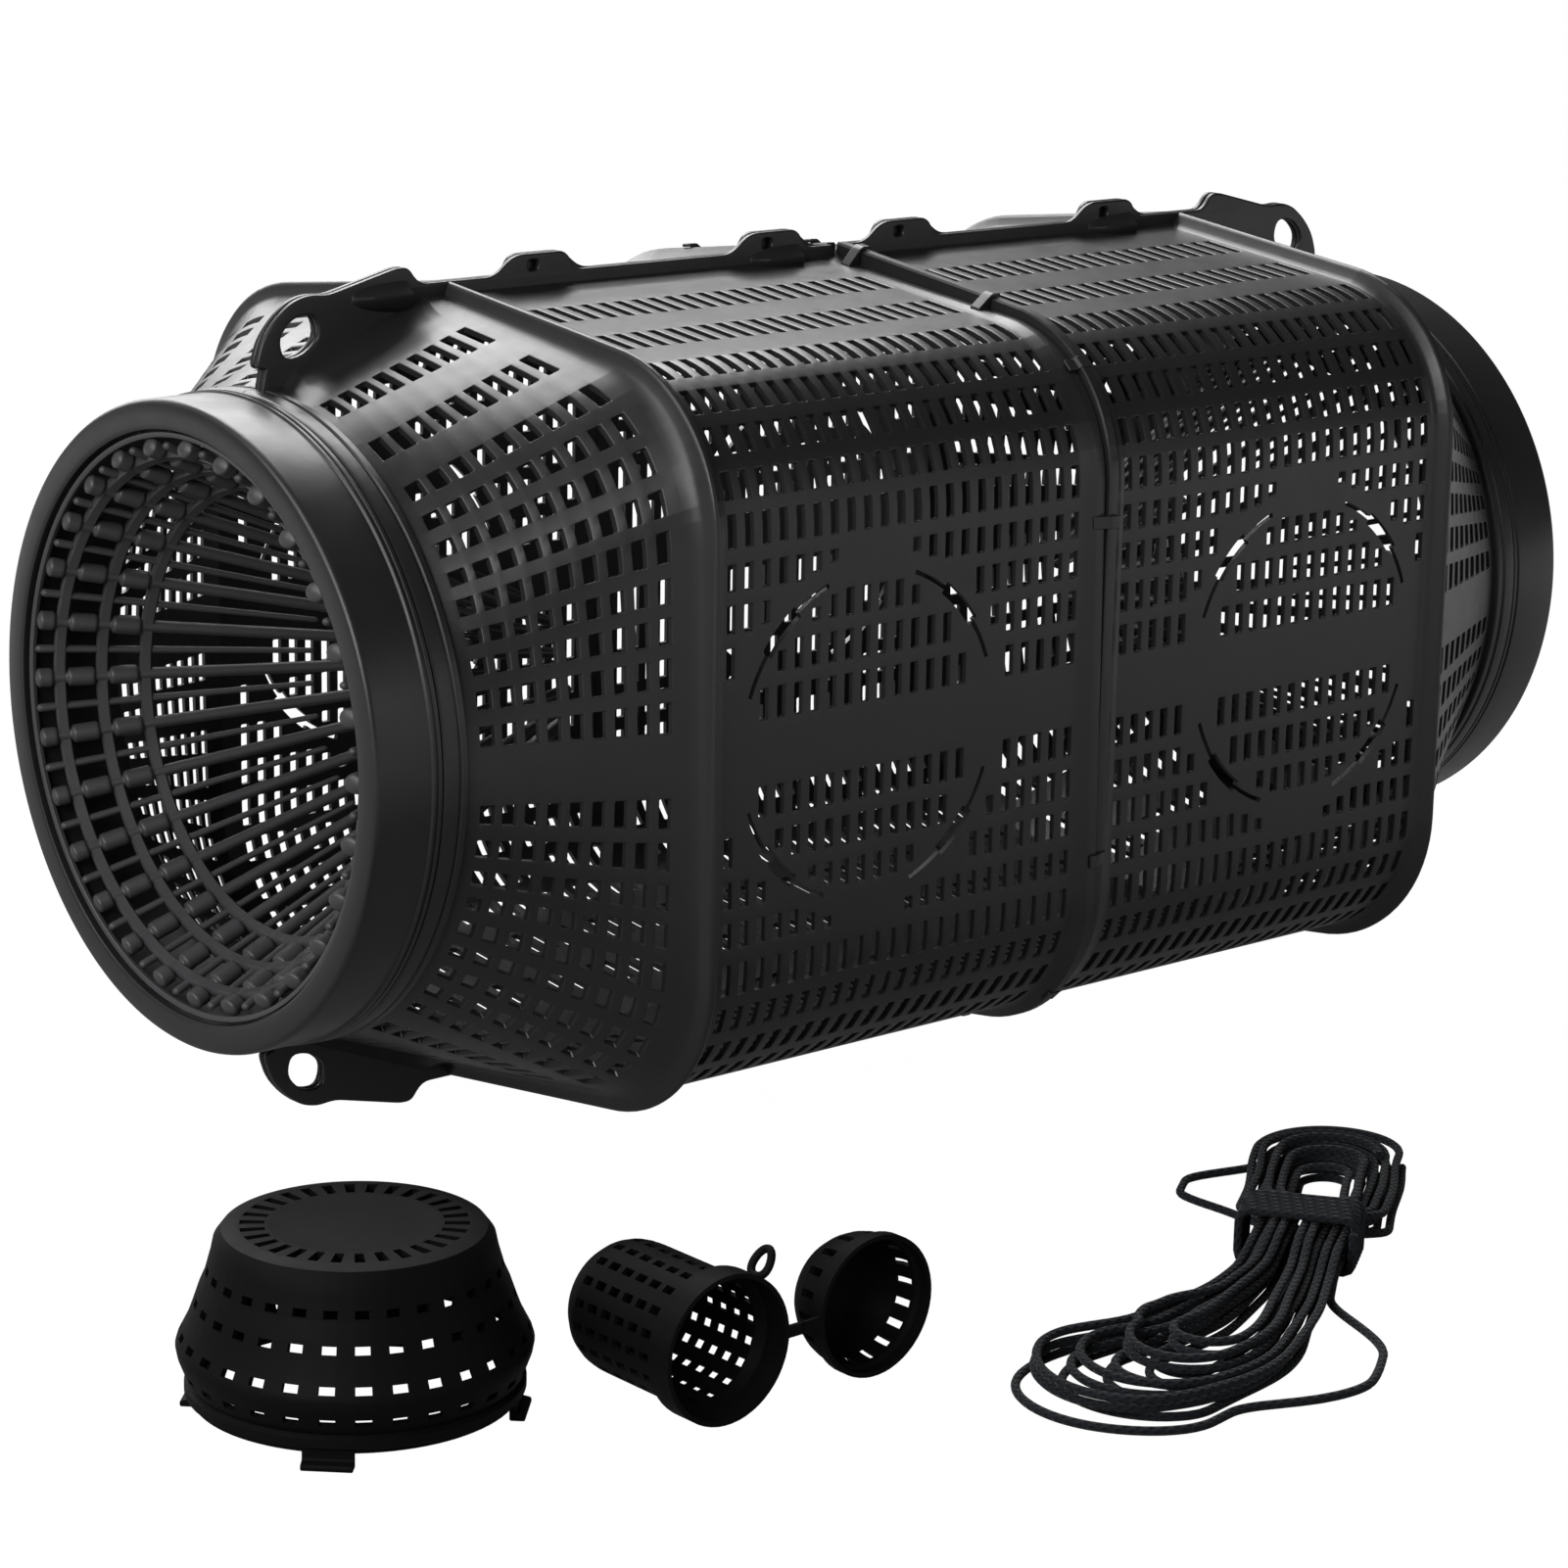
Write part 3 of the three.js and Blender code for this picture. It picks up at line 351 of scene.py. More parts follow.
def rounded(outline, radius):
    """An outline whose corners are rounded off, each by at most this radius."""
    places = [Vector(place) for place in outline]
    made = []
    for index, corner in enumerate(places):
        before = places[index - 1] - corner
        after = places[(index + 1) % len(places)] - corner
        reach = min(radius, CORNER_REACH_MOST * min(before.length, after.length))
        start = corner + before.normalized() * reach
        end = corner + after.normalized() * reach
        for share in np.linspace(0, 1, ROUNDING_STEPS + 1):
            made.append(start.lerp(corner, share).lerp(corner.lerp(end, share), share))
    return [tuple(place) for place in made]


def cut(obj, cutters):
    """Takes the cutters out of the object and removes them."""
    for cutter in cutters:
        boolean = obj.modifiers.new("cut", "BOOLEAN")
        boolean.operation = "DIFFERENCE"
        boolean.solver = "EXACT"
        boolean.object = cutter
    graph = bpy.context.evaluated_depsgraph_get()
    mesh = bpy.data.meshes.new_from_object(obj.evaluated_get(graph))
    obj.modifiers.clear()
    obj.data = mesh
    for cutter in cutters:
        bpy.data.objects.remove(cutter)


# Helpers for node materials


class Nodes:
    """The node tree of a material or a world, with short calls to add and join its nodes."""

    def __init__(self, owner):
        owner.use_nodes = True
        self.owner = owner
        self.tree = owner.node_tree
        self.shader = self.tree.nodes.get("Principled BSDF")
        self.coordinates = self.tree.nodes.new("ShaderNodeTexCoord").outputs
        self.place = self.coordinates["Object"]

    def add(self, kind, **inputs):
        """A new node, with its inputs given as values or as other nodes' outputs."""
        node = self.tree.nodes.new(kind)
        for name, value in inputs.items():
            self.feed(node.inputs[name], value)
        return node

    def wired(self, kind, *values):
        """A new node, with its first inputs given in their order."""
        node = self.tree.nodes.new(kind)
        for socket, value in zip(node.inputs, values):
            self.feed(socket, value)
        return node

    def set(self, name, value):
        """Sets or feeds a socket of the material's shader."""
        self.feed(self.shader.inputs[name], value)

    def feed(self, socket, value):
        if isinstance(value, bpy.types.NodeSocket):
            self.tree.links.new(value, socket)
        else:
            socket.default_value = value

    def noise(self, size, detail=3.0, roughness=0.5):
        """Noise whose lumps are about this many millimetres across."""
        scale = 1 / (size * MM)
        settings = {"Scale": scale, "Detail": detail, "Roughness": roughness}
        return self.add("ShaderNodeTexNoise", Vector=self.place, **settings).outputs["Fac"]

    def spread(self, value, start, end, low, high, kind="LINEAR"):
        """Low up to the start and high from the end on."""
        node = self.wired("ShaderNodeMapRange", value, start, end, low, high)
        node.interpolation_type = kind
        return node.outputs["Result"]

    def between(self, share, low, high):
        """Low where the share is 0 and high where it is 1."""
        return self.spread(share, 0.0, 1.0, low, high)

    def blend(self, share, low, high):
        """A colour from low to high by a share."""
        node = self.tree.nodes.new("ShaderNodeMix")
        node.data_type = "RGBA"
        self.feed(node.inputs[0], share)
        self.feed(node.inputs[6], low)
        self.feed(node.inputs[7], high)
        return node.outputs[2]

    def maths(self, operation, first, second=0.0):
        node = self.wired("ShaderNodeMath", first, second)
        node.operation = operation
        return node.outputs[0]

    def vector_maths(self, operation, *vectors):
        node = self.wired("ShaderNodeVectorMath", *vectors)
        node.operation = operation
        return node.outputs["Value"]

    def mixed_shader(self, share, first, second):
        return self.wired("ShaderNodeMixShader", share, first, second).outputs[0]

    def bump(self, height, depth, normal=None):
        """Bumps as deep as this many millimetres, on top of another bump."""
        node = self.add("ShaderNodeBump", Height=height, Distance=depth * MM, Strength=1.0)
        if normal is not None:
            self.feed(node.inputs["Normal"], normal)
        return node.outputs["Normal"]


# Materials of the plastic and the cord

FLOW_SIZE = 38.0
RUB_SIZE = 11.0
RUB_SPREAD = 0.09
WAVE_SIZE = 16.0
WAVE_DEPTH = 0.16
GRAIN_SIZE = 0.45
BLUE_TINT = 1.05
PLASTICS = {
    "shell_plastic": dict(darkest=0.013, palest=0.019, roughness=0.35, grain=0.02, gloss=0.5),
    "funnel_plastic": dict(darkest=0.045, palest=0.062, roughness=0.4, grain=0.02, gloss=0.5),
    "kit_plastic": dict(darkest=0.003, palest=0.005, roughness=0.6, grain=0.03, gloss=0.08),
}
BRAID_STRANDS = 4.0
BRAID_DEPTH = 0.22
FIBRE_SIZE = 0.5
FIBRE_DEPTH = 0.06
DUST_SIZE = 9.0
CORD_ROUGHNESS = (0.6, 0.85)
# Tones of the cord: two dark tones in the grooves, between which dust varies, and a paler tone on
# the strands' crests. The grooves' darkness is painted shade.
CORD_DUST_AND_SHADE_TONES = ((0.006, 0.007, 0.009, 1), (0.01, 0.012, 0.015, 1), (0.013, 0.015, 0.019, 1))


def moulded_plastic(name, darkest, palest, roughness, grain, gloss):
    """Satin black plastic: fine spark-eroded grain, faint flow marks and rubbed patches."""
    nodes = Nodes(bpy.data.materials.new(name))
    flow = nodes.noise(FLOW_SIZE, detail=4)
    rubbed = nodes.noise(RUB_SIZE, detail=6, roughness=0.65)
    fine = nodes.noise(GRAIN_SIZE, detail=2)
    waves = nodes.noise(WAVE_SIZE, detail=2)
    low, high = ((tone, tone, BLUE_TINT * tone, 1) for tone in (darkest, palest))
    nodes.set("Base Color", nodes.blend(flow, low, high))
    rough = nodes.between(rubbed, roughness - RUB_SPREAD, roughness + RUB_SPREAD)
    nodes.set("Roughness", rough)
    nodes.set("Specular IOR Level", gloss)
    swell = nodes.bump(waves, WAVE_DEPTH)
    nodes.set("Normal", nodes.bump(fine, grain, swell))
    return nodes.owner


def braided_cord(name):
    """Braided synthetic cord: two sets of strands that cross round it, with a soft sheen, a tone
    that dust varies and painted shade in the grooves between the strands.
    """
    nodes = Nodes(bpy.data.materials.new(name))
    parts = nodes.add("ShaderNodeSeparateXYZ", Vector=nodes.coordinates["UV"])
    along, around = parts.outputs["X"], parts.outputs["Y"]
    strands = []
    for direction in (1, -1):
        twist = nodes.maths("MULTIPLY", around, BRAID_STRANDS * direction)
        phase = nodes.maths("ADD", along, twist)
        strands.append(nodes.maths("SINE", nodes.maths("MULTIPLY", phase, 2 * math.pi)))
    braid = nodes.maths("MAXIMUM", *strands)
    fibre = nodes.noise(FIBRE_SIZE, detail=4)
    dust = nodes.noise(DUST_SIZE, detail=5)
    # The grooves between the strands are painted darker than their crests: painted shade, on top
    # of the dust's varying tone.
    low = nodes.blend(dust, *CORD_DUST_AND_SHADE_TONES[:2])
    crest_light_share = nodes.between(braid, 0.0, 1.0)
    nodes.set("Base Color", nodes.blend(crest_light_share, low, CORD_DUST_AND_SHADE_TONES[2]))
    nodes.set("Roughness", nodes.between(fibre, *CORD_ROUGHNESS))
    nodes.set("Specular IOR Level", 0.15)
    nodes.set("Sheen Weight", 0.1)
    nodes.set("Sheen Roughness", 0.4)
    woven = nodes.bump(braid, BRAID_DEPTH)
    nodes.set("Normal", nodes.bump(fibre, FIBRE_DEPTH, woven))
    return nodes.owner


# The camera, as fitted to the photograph's ribs, lips and seams

CAMERA_PLACE = Vector((-1.07490, -1.21288, 0.52944))
CAMERA_TURN = -41.03
CAMERA_DOWN = 14.209
CAMERA_ROLL = 0.988
CAMERA_LENS = 102.2
SENSOR_WIDTH = 36.0


def make_camera():
    """The photograph's camera: turned, tilted down and rolled a little."""
    data = bpy.data.cameras.new("camera")
    data.lens = CAMERA_LENS
    data.sensor_width = SENSOR_WIDTH
    data.clip_start = 0.01
    data.clip_end = 50.0
    camera = new_object("camera", data)
    place = Matrix.Translation(CAMERA_PLACE)
    turn, down, roll = turned(CAMERA_TURN), turned(90 - CAMERA_DOWN, "X"), turned(CAMERA_ROLL)
    camera.matrix_world = place @ turn @ down @ roll
    bpy.context.scene.camera = camera


# The cord's hank: loops nested in layers, drawn in to a waist under the tie, bent in plan

CORD_DIAMETER = 3.0
HANK_NEST = 4
HANK_LAYERS = 4
HANK_TURNS = 14
HANK_PITCH = 3.6
NEAR_LOBE_REACHES = (27.0, 8.0, 26.0, 9.0, 27.0)
FAR_LOBE_REACHES = (39.0, 8.5, 35.0, 10.5, 37.0)
NEAR_LOBE_LEANS = (0.0, 1.0, -0.5, 1.0, 0.0)
FAR_LOBE_LEANS = (0.0, 3.0, -2.0, 2.5, 0.0)
NEAR_END_CUTS = (0.0, 30.0, 3.0, 40.0, 1.0)
FAR_END_CUTS = (0.0, 30.0, 4.0, 44.0, 2.0)
SWAYS = (0.5, 1.3)
SWAY_LENGTH = 58.0
SWAY_TURN = 0.5
HANK_HALF_LENGTH = 124.0
WAIST_SHARE = 0.42
WAIST_FLAT_HALF = 14.0
WAIST_FLARE = 24.0
WAIST_LIFT = 3.8
HANK_START = (89.25, -181.804)
HANK_END = (-132.75, -292.804)
HANK_PLAN_SHARES = ((0, 0), (0.275, 0.423), (0.55, 0.784), (0.784, 0.982), (1, 1))
CLIMB_TURNS = 0.5
END_SHARE = 0.12
STRAY_LOOPS = (
    (0, 1, 0.5, 22.0, 48.0),
    (0, -1, -0.68, 26.0, 34.0),
    (13, -1, 0.6, 9.0, 30.0),
)
STRAY_CREST = 1.2
HANK_STEPS_PER_TURN = 384
HANK_SAMPLES = 4000
TIE_TURNS = 6
TIE_STEPS_PER_TURN = 48
TIE_SAMPLES = 600
TIE_CORNER_RADIUS = 3.6
TIE_CORNER_SHARE = 0.75
CORD_SIDES = 12
PLAN_STEPS = 400
PLAN_REACH = 6
SPLINE_SAMPLES = 200
BRAID_PITCH = 4.0

WAIST_ALONG = mix(-HANK_HALF_LENGTH, HANK_HALF_LENGTH, WAIST_SHARE)
WAIST_END = WAIST_ALONG + WAIST_FLAT_HALF


def spline_through(places, steps):
    """A smooth line through the places, as points an equal distance apart."""
    places = np.asarray(places, float)
    padded = np.vstack([2 * places[0] - places[1], places, 2 * places[-1] - places[-2]])
    pieces = []
    for index in range(1, len(padded) - 2):
        before, start, end, after = padded[index - 1 : index + 3]
        share = np.linspace(0, 1, SPLINE_SAMPLES, endpoint=False)[:, None]
        pieces.append(
            0.5
            * (
                2 * start
                + (end - before) * share
                + (2 * before - 5 * start + 4 * end - after) * share**2
                + (3 * start - before - 3 * end + after) * share**3
            )
        )
    return evenly(np.vstack([*pieces, places[-1:]]), steps)


def hank_plan():
    """The hank's centre line on the floor and its length."""
    shares = np.array(HANK_PLAN_SHARES)
    start, end = np.array(HANK_START), np.array(HANK_END)
    line = spline_through(start + (end - start) * shares, PLAN_STEPS)
    return line, lengths_along(line)[-1]


PLAN_LINE, PLAN_LENGTH = hank_plan()


def on_plan(along, aside, height):
    """A place beside the hank's centre line."""
    share = along / PLAN_LENGTH + 0.5
    held = min(max(share, 0.0), 1.0)
    step = held * PLAN_STEPS
    before = min(int(step), PLAN_STEPS - 1)
    place = mix(PLAN_LINE[before], PLAN_LINE[before + 1], step - before)
    near, far = max(before - PLAN_REACH, 0), min(before + 1 + PLAN_REACH, PLAN_STEPS)
    forward = PLAN_LINE[far] - PLAN_LINE[near]
    forward = forward / np.linalg.norm(forward)
    side = np.array([-forward[1], forward[0]])
    spot = place + forward * (share - held) * PLAN_LENGTH + side * aside
    return np.array([spot[0], spot[1], height])


def lobe_share(along):
    """0 in the hank's waist and 1 where its sides have opened."""
    return float(smooth((abs(along - WAIST_ALONG) - WAIST_FLAT_HALF) / WAIST_FLARE))


def lobe_opening(along):
    """How far the hank has opened from its waist: at once on one side, slowly on the other."""
    if along < WAIST_ALONG:
        return lobe_share(along)
    return float(smooth((along - WAIST_END) / (HANK_HALF_LENGTH - WAIST_END)))


def at_layer_ends(values, turns):
    """A value that is given where each layer of the hank starts and ends."""
    return float(np.interp(turns, np.arange(HANK_LAYERS + 1) * HANK_NEST, values))


def waist_aside(turns):
    """How far a loop's side runs from the centre line under the tie."""
    layer = min(int(turns / HANK_NEST), HANK_LAYERS - 1)
    within = turns - layer * HANK_NEST
    nest = within if layer % 2 == 0 else HANK_NEST - within
    return HANK_PITCH / 2 + (HANK_NEST - nest) * HANK_PITCH


def hank_aside(along, turns):
    """How far a loop's side runs from the hank's centre line."""
    reaches = NEAR_LOBE_REACHES if along < WAIST_ALONG else FAR_LOBE_REACHES
    return mix(waist_aside(turns), at_layer_ends(reaches, turns), lobe_opening(along))


def hank_sway(along, turns):
    """How far a loop leans aside as a whole, with slow waves along it."""
    near = along < WAIST_ALONG
    lean = at_layer_ends(NEAR_LOBE_LEANS if near else FAR_LOBE_LEANS, turns)
    wave = math.sin(2 * math.pi * along / SWAY_LENGTH + SWAY_TURN * turns)
    return (lean + SWAYS[0 if near else 1] * wave) * lobe_opening(along)


def loop_place(turns):
    """One loop: out along one side (1), round the far end (0), back along the other (-1)."""
    share = turns - int(turns)
    near_end = -HANK_HALF_LENGTH + at_layer_ends(NEAR_END_CUTS, turns)
    far_end = HANK_HALF_LENGTH - at_layer_ends(FAR_END_CUTS, turns)
    side_share = 0.5 - END_SHARE
    if share <= side_share:
        along = mix(near_end, far_end, share / side_share)
        return along, hank_aside(along, turns), 1
    if 0.5 < share <= 0.5 + side_share:
        along = mix(far_end, near_end, (share - 0.5) / side_share)
        return along, -hank_aside(along, turns), -1
    way, end, start = (1, far_end, 0.0) if share <= 0.5 else (-1, near_end, 0.5)
    turn = math.pi * (share - start - side_share) / END_SHARE
    radius = hank_aside(end, turns)
    return end + way * radius * math.sin(turn), way * radius * math.cos(turn), 0


def hank_point(turns):
    """The cord's place after so many turns: on its layer, with its sway and stray loops."""
    loop = int(turns)
    along, aside, side = loop_place(turns)
    for stray_loop, stray_side, centre_share, reach, half_length in STRAY_LOOPS:
        if stray_loop == loop and stray_side == side:
            away = abs(along - centre_share * HANK_HALF_LENGTH) / half_length
            aside += side * reach * float(smooth(STRAY_CREST * (1 - away)))
    aside += hank_sway(along, turns)
    lifted = (1 - lobe_share(along)) * WAIST_LIFT
    nearest = round(turns / HANK_NEST)
    climb = float(smooth((turns - nearest * HANK_NEST) / CLIMB_TURNS + 0.5))
    level = min(max(nearest - 1 + climb, 0), HANK_LAYERS - 1)
    return on_plan(along, aside, CORD_DIAMETER / 2 + lifted + level * HANK_PITCH)


def tie_corner(quarter, turn):
    """A place (aside, up) on the rounded corner where the tie bends round the waist."""
    half_width = waist_aside(0)
    half_height = (HANK_LAYERS - 1) * HANK_PITCH / 2
    middle = CORD_DIAMETER / 2 + WAIST_LIFT + half_height
    across = half_width if quarter % 4 in (0, 3) else -half_width
    upward = half_height if quarter % 4 < 2 else -half_height
    bend = TIE_CORNER_RADIUS * np.array([math.cos(turn), math.sin(turn)])
    return np.array([across, middle + upward]) + bend


def tie_point(turns):
    """The tie's place after so many turns round the waist."""
    quarter = int(turns * 4)
    within = turns * 4 - quarter
    turn = (quarter + min(within / TIE_CORNER_SHARE, 1)) * math.pi / 2
    section = tie_corner(quarter, turn)
    if within > TIE_CORNER_SHARE:
        share = (within - TIE_CORNER_SHARE) / (1 - TIE_CORNER_SHARE)
        section = mix(section, tie_corner(quarter + 1, turn), share)
    along = WAIST_ALONG + (turns - TIE_TURNS / 2) * HANK_PITCH
    return on_plan(along, *section)


def cord_piece(name, path, material, node):
    """A braided cord along a path in millimetres, with its length along it as its UVs."""
    vertices, faces = tube(path, CORD_DIAMETER / 2, CORD_SIDES)
    obj = mesh_object(name, vertices, faces, sharp_degrees=ROUND_DEGREES)
    spacing = np.linalg.norm(np.diff(path, axis=0), axis=1).mean()
    layer = obj.data.uv_layers.new(name="braid")
    for face in obj.data.polygons:
        columns = [index % CORD_SIDES for index in face.vertices]
        wraps = max(columns) - min(columns) > 1 and len(columns) == 4
        for loop, index, column in zip(face.loop_indices, face.vertices, columns):
            around = column + (CORD_SIDES if wraps and column == 0 else 0)
            along = (index // CORD_SIDES) * spacing / BRAID_PITCH
            layer.data[loop].uv = (along, around / CORD_SIDES)
    stand_for(obj, material, "front_half", node)
    return obj


def turned_path(place_at, turns, samples, steps_per_turn):
    """The path through the places of so many turns, in even steps."""
    places = [place_at(turns * index / samples) for index in range(samples + 1)]
    return evenly(np.array(places), turns * steps_per_turn)


def make_cord():
    """The hank and the tie round its waist, each as one run of cord."""
    material = braided_cord("braided_cord")
    hank_path = turned_path(hank_point, HANK_TURNS, HANK_SAMPLES, HANK_STEPS_PER_TURN)
    tie_path = turned_path(tie_point, TIE_TURNS, TIE_SAMPLES, TIE_STEPS_PER_TURN)
    for name, path, node in (
        ("hank_of_cord", hank_path, "cord_hank"),
        ("tie_of_cord", tie_path, "cord_tie"),
    ):
        obj = cord_piece(name, path, material, node)


# The moulded shells: the walk goes down a quarter's outline from the upper to the lower seam

SHELL_HALF_WIDTH = RIB_HALF_WIDTH - RIB_STAND
SHELL_CORNER = CORNER_RADIUS - RIB_STAND
CORNER_CENTRE = RIB_HALF_WIDTH - CORNER_RADIUS
SLOPE_ANGLE = math.atan(ROOF_SLOPE)
ROOF_END_Y = CORNER_CENTRE + SHELL_CORNER * math.sin(SLOPE_ANGLE)
ROOF_END_Z = FLAT_HALF_HEIGHT + SHELL_CORNER * math.cos(SLOPE_ANGLE)
ROOF_LENGTH = ROOF_END_Y / math.cos(SLOPE_ANGLE)
CORNER_LENGTH = SHELL_CORNER * (math.pi / 2 - SLOPE_ANGLE)
HALF_OUTLINE = ROOF_LENGTH + CORNER_LENGTH + FLAT_HALF_HEIGHT
OUTLINE = 2 * HALF_OUTLINE
ROOF_TOP = ROOF_END_Z + ROOF_END_Y * ROOF_SLOPE


def outline_places(walk):
    """The places (y, z) of walks and their outward directions (ny, nz)."""
    upper = np.where(walk <= HALF_OUTLINE, walk, OUTLINE - walk)
    flip = np.where(walk <= HALF_OUTLINE, 1.0, -1.0)
    roof_y = np.maximum(upper * math.cos(SLOPE_ANGLE), HALF_SEAM)
    turn = math.pi / 2 - SLOPE_ANGLE - (upper - ROOF_LENGTH) / SHELL_CORNER
    on_roof = upper <= ROOF_LENGTH
    on_corner = upper <= ROOF_LENGTH + CORNER_LENGTH
    corner_y = CORNER_CENTRE + SHELL_CORNER * np.cos(turn)
    corner_z = FLAT_HALF_HEIGHT + SHELL_CORNER * np.sin(turn)
    cases = [on_roof, on_corner]
    y = np.select(cases, [roof_y, corner_y], SHELL_HALF_WIDTH)
    z = np.select(cases, [ROOF_TOP - roof_y * ROOF_SLOPE, corner_z], HALF_OUTLINE - upper)
    ny = np.select(cases, [math.sin(SLOPE_ANGLE), np.cos(turn)], 1.0)
    nz = np.select(cases, [math.cos(SLOPE_ANGLE), np.sin(turn)], 0.0)
    return y, z * flip, ny, nz * flip


def shell_points(along, walk, lift):
    """Points of a quarter at these stations along it, walks down it and lifts off it."""
    y, z, ny, nz = outline_places(walk)
    reach = np.hypot(y, z)
    share = np.clip((along - RIB_END) / (CONE_END - RIB_END), 0, 1)
    at_seam = y <= HALF_SEAM
    out_y = np.where(at_seam, 0.0, mix(ny, y / reach, share))
    out_z = np.where(at_seam, np.sign(z), mix(nz, z / reach, share))
    long = np.hypot(out_y, out_z)
    place_y = mix(y, CONE_END_RADIUS * y / reach, share) + lift * out_y / long
    place_z = mix(z, CONE_END_RADIUS * z / reach, share) + lift * out_z / long
    return np.stack([-along, -np.maximum(place_y, HALF_SEAM), place_z], axis=-1)


def middle_stand_at(walk):
    """How far the crest beside the middle joint stands over the shell at this walk."""
    return MIDDLE_STAND_MOST * walk / OUTLINE


def middle_shape():
    """(along, share of its stand) of the crest beside the middle joint."""
    return [
        (HALF_SEAM, 0.86), (0.8, 1.0), (4.2, 1.0), (5.0, 0.86), (8.0, 0.3), (10.0, 0.06),
        (11.2, 0.0),
    ]


def lift_profile():
    """(along, lift) of the outer face: rib, cone and the neck's bead."""
    start, end, cone, stand = RIB_START, RIB_END, CONE_END, RIB_STAND
    rib = [
        (start - 5.2, 0.0), (start - 4.0, 0.4), (start - 2.6, 1.7), (start - 0.9, stand - 1.3),
        (start - 0.3, stand - 0.5), (start + 0.4, stand - 0.1), (start + 1.0, stand),
        (end - 0.4, stand - 0.1), (end + 0.2, stand - 0.5), (end + 0.6, stand - 1.3),
        (end + 1.5, 1.6), (end + 2.6, 0.6), (end + 4.6, 0.2), (end + 6.6, 0.0),
    ]
    neck = [
        (cone - 3.2, 0.0), (cone, 0.3), (cone + 0.6, 1.9), (cone + 1.2, NECK_BEAD),
        (cone + 3.4, NECK_BEAD), (cone + 4.0, NECK_GROOVE), (cone + 4.7, NECK_GROOVE),
        (cone + 5.3, NECK_BEAD), (NECK_END - 1.0, NECK_BEAD), (NECK_END, 1.8),
    ]
    return [*rib, *neck]


def depth_at(along):
    """How far the inner face lies under the outline: the neck has an inward flange."""
    on_flange = FLANGE_BACK <= along <= FLANGE_FRONT
    return CONE_END_RADIUS - FLANGE_RADIUS if on_flange else WALL


def slot_columns():
    """(start, end, part of the shell) of each column of slots along a quarter."""
    centres = np.linspace(BARREL_SLOT_FIRST, BARREL_SLOT_LAST, BARREL_SLOT_COUNT)
    half = BARREL_SLOT_WIDTH / 2
    columns = [(centre - half, centre + half, "barrel") for centre in centres]
    cone_centres = np.linspace(CONE_SLOT_FIRST, CONE_SLOT_LAST, CONE_SLOT_COUNT)
    for index, centre in enumerate(cone_centres):
        half = mix(*CONE_SLOT_WIDTHS, index / (CONE_SLOT_COUNT - 1)) / 2
        columns.append((centre - half, centre + half, "cone"))
    return columns


def slot_rows():
    """(start, end) of each row of slots down the outline. The lower rows are mirrored."""
    lower = [(OUTLINE - end, OUTLINE - start) for start, end in SLOT_ROWS]
    return [*SLOT_ROWS, *reversed(lower)]


def station_lines():
    """Every station along a quarter, with the terraces between the cone's slots."""
    columns = slot_columns()
    lines = [along for along, _ in (*middle_shape(), *lift_profile())]
    lines += [FLANGE_BACK - FLANGE_STEP, FLANGE_BACK, FLANGE_FRONT, FLANGE_FRONT + FLANGE_STEP]
    for start, end, _ in columns:
        lines += [start - SLOT_BEVEL, start, end, end + SLOT_BEVEL]
    return np.array(sorted(set(lines)))


def station_lifts(lines, walks):
    """The outer face's lift at each station and walk, with the fillets along the seams."""
    alongs, lifts = zip(*lift_profile())
    made = np.interp(lines, alongs, lifts)
    cone = [(start, end) for start, end, part in slot_columns() if part == "cone"]
    for (_, end), (start, _) in zip(cone, cone[1:]):
        low, high = end + SLOT_BEVEL - LINE_SLACK, start - SLOT_BEVEL + LINE_SLACK
        on_bar = (lines >= low) & (lines <= high)
        made[on_bar] += CONE_TERRACE
    alongs, shares = zip(*middle_shape())
    stand = np.interp(lines, alongs, shares)[:, None] * middle_stand_at(walks)[None, :]
    on_cone = smooth((lines - RIB_END) / (CONE_SLOT_FIRST - RIB_END))
    before_neck = smooth((CONE_END - 1 - lines) / FILLET_FADE)
    rise = mix(*FILLET_RISES, on_cone) * before_neck
    width = mix(*FILLET_WIDTHS, on_cone)
    from_seam = np.minimum(walks, OUTLINE - walks)[None, :] / width[:, None]
    fillet = rise[:, None] * (1 - from_seam.clip(0, 1)) ** 2
    return np.maximum(made[:, None] + stand, fillet)


def walk_lines():
    """Every walk: each row's ends, the rounding of its slots and steps between rows."""
    lines = [0.0, OUTLINE]
    lines += [*SEAM_FILLET_WALKS, *[OUTLINE - walk for walk in SEAM_FILLET_WALKS]]
    for start, end in slot_rows():
        lines += [start - SLOT_BEVEL, start, start + SLOT_CORNER]
        lines += [end - SLOT_CORNER, end, end + SLOT_BEVEL]
    lines = sorted(lines)
    filled = [lines[0]]
    for line in lines[1:]:
        gap = line - filled[-1]
        steps = max(1, math.ceil(gap / LONGEST_STEP))
        filled += [mix(filled[-1], line, step / steps) for step in range(1, steps + 1)]
    return np.array(filled)


def seat_clear(start, end, row_start, row_end):
    """The part of a barrel slot that is clear of the bayonet seat's ring, or None."""
    aside = max(abs(start - SEAT_CENTRE), abs(end - SEAT_CENTRE))
    nearest = min(abs(start - SEAT_CENTRE), abs(end - SEAT_CENTRE))
    if start < SEAT_CENTRE < end:
        nearest = 0.0
    low, high = HALF_OUTLINE - row_end, HALF_OUTLINE - row_start
    upper = low >= 0
    near, far = (low, high) if upper else (-high, -low)
    inner = math.sqrt(max(SEAT_INNER_CLEAR**2 - aside**2, 0))
    outer = math.sqrt(max(SEAT_OUTER_CLEAR**2 - nearest**2, 0))
    parts = [(near, min(far, inner)), (max(near, outer), far)]
    near, far = max(parts, key=lambda part: part[1] - part[0])
    if far - near < SEAT_SHORTEST_SLOT:
        return None
    if upper:
        return HALF_OUTLINE - far, HALF_OUTLINE - near
    return HALF_OUTLINE + near, HALF_OUTLINE + far


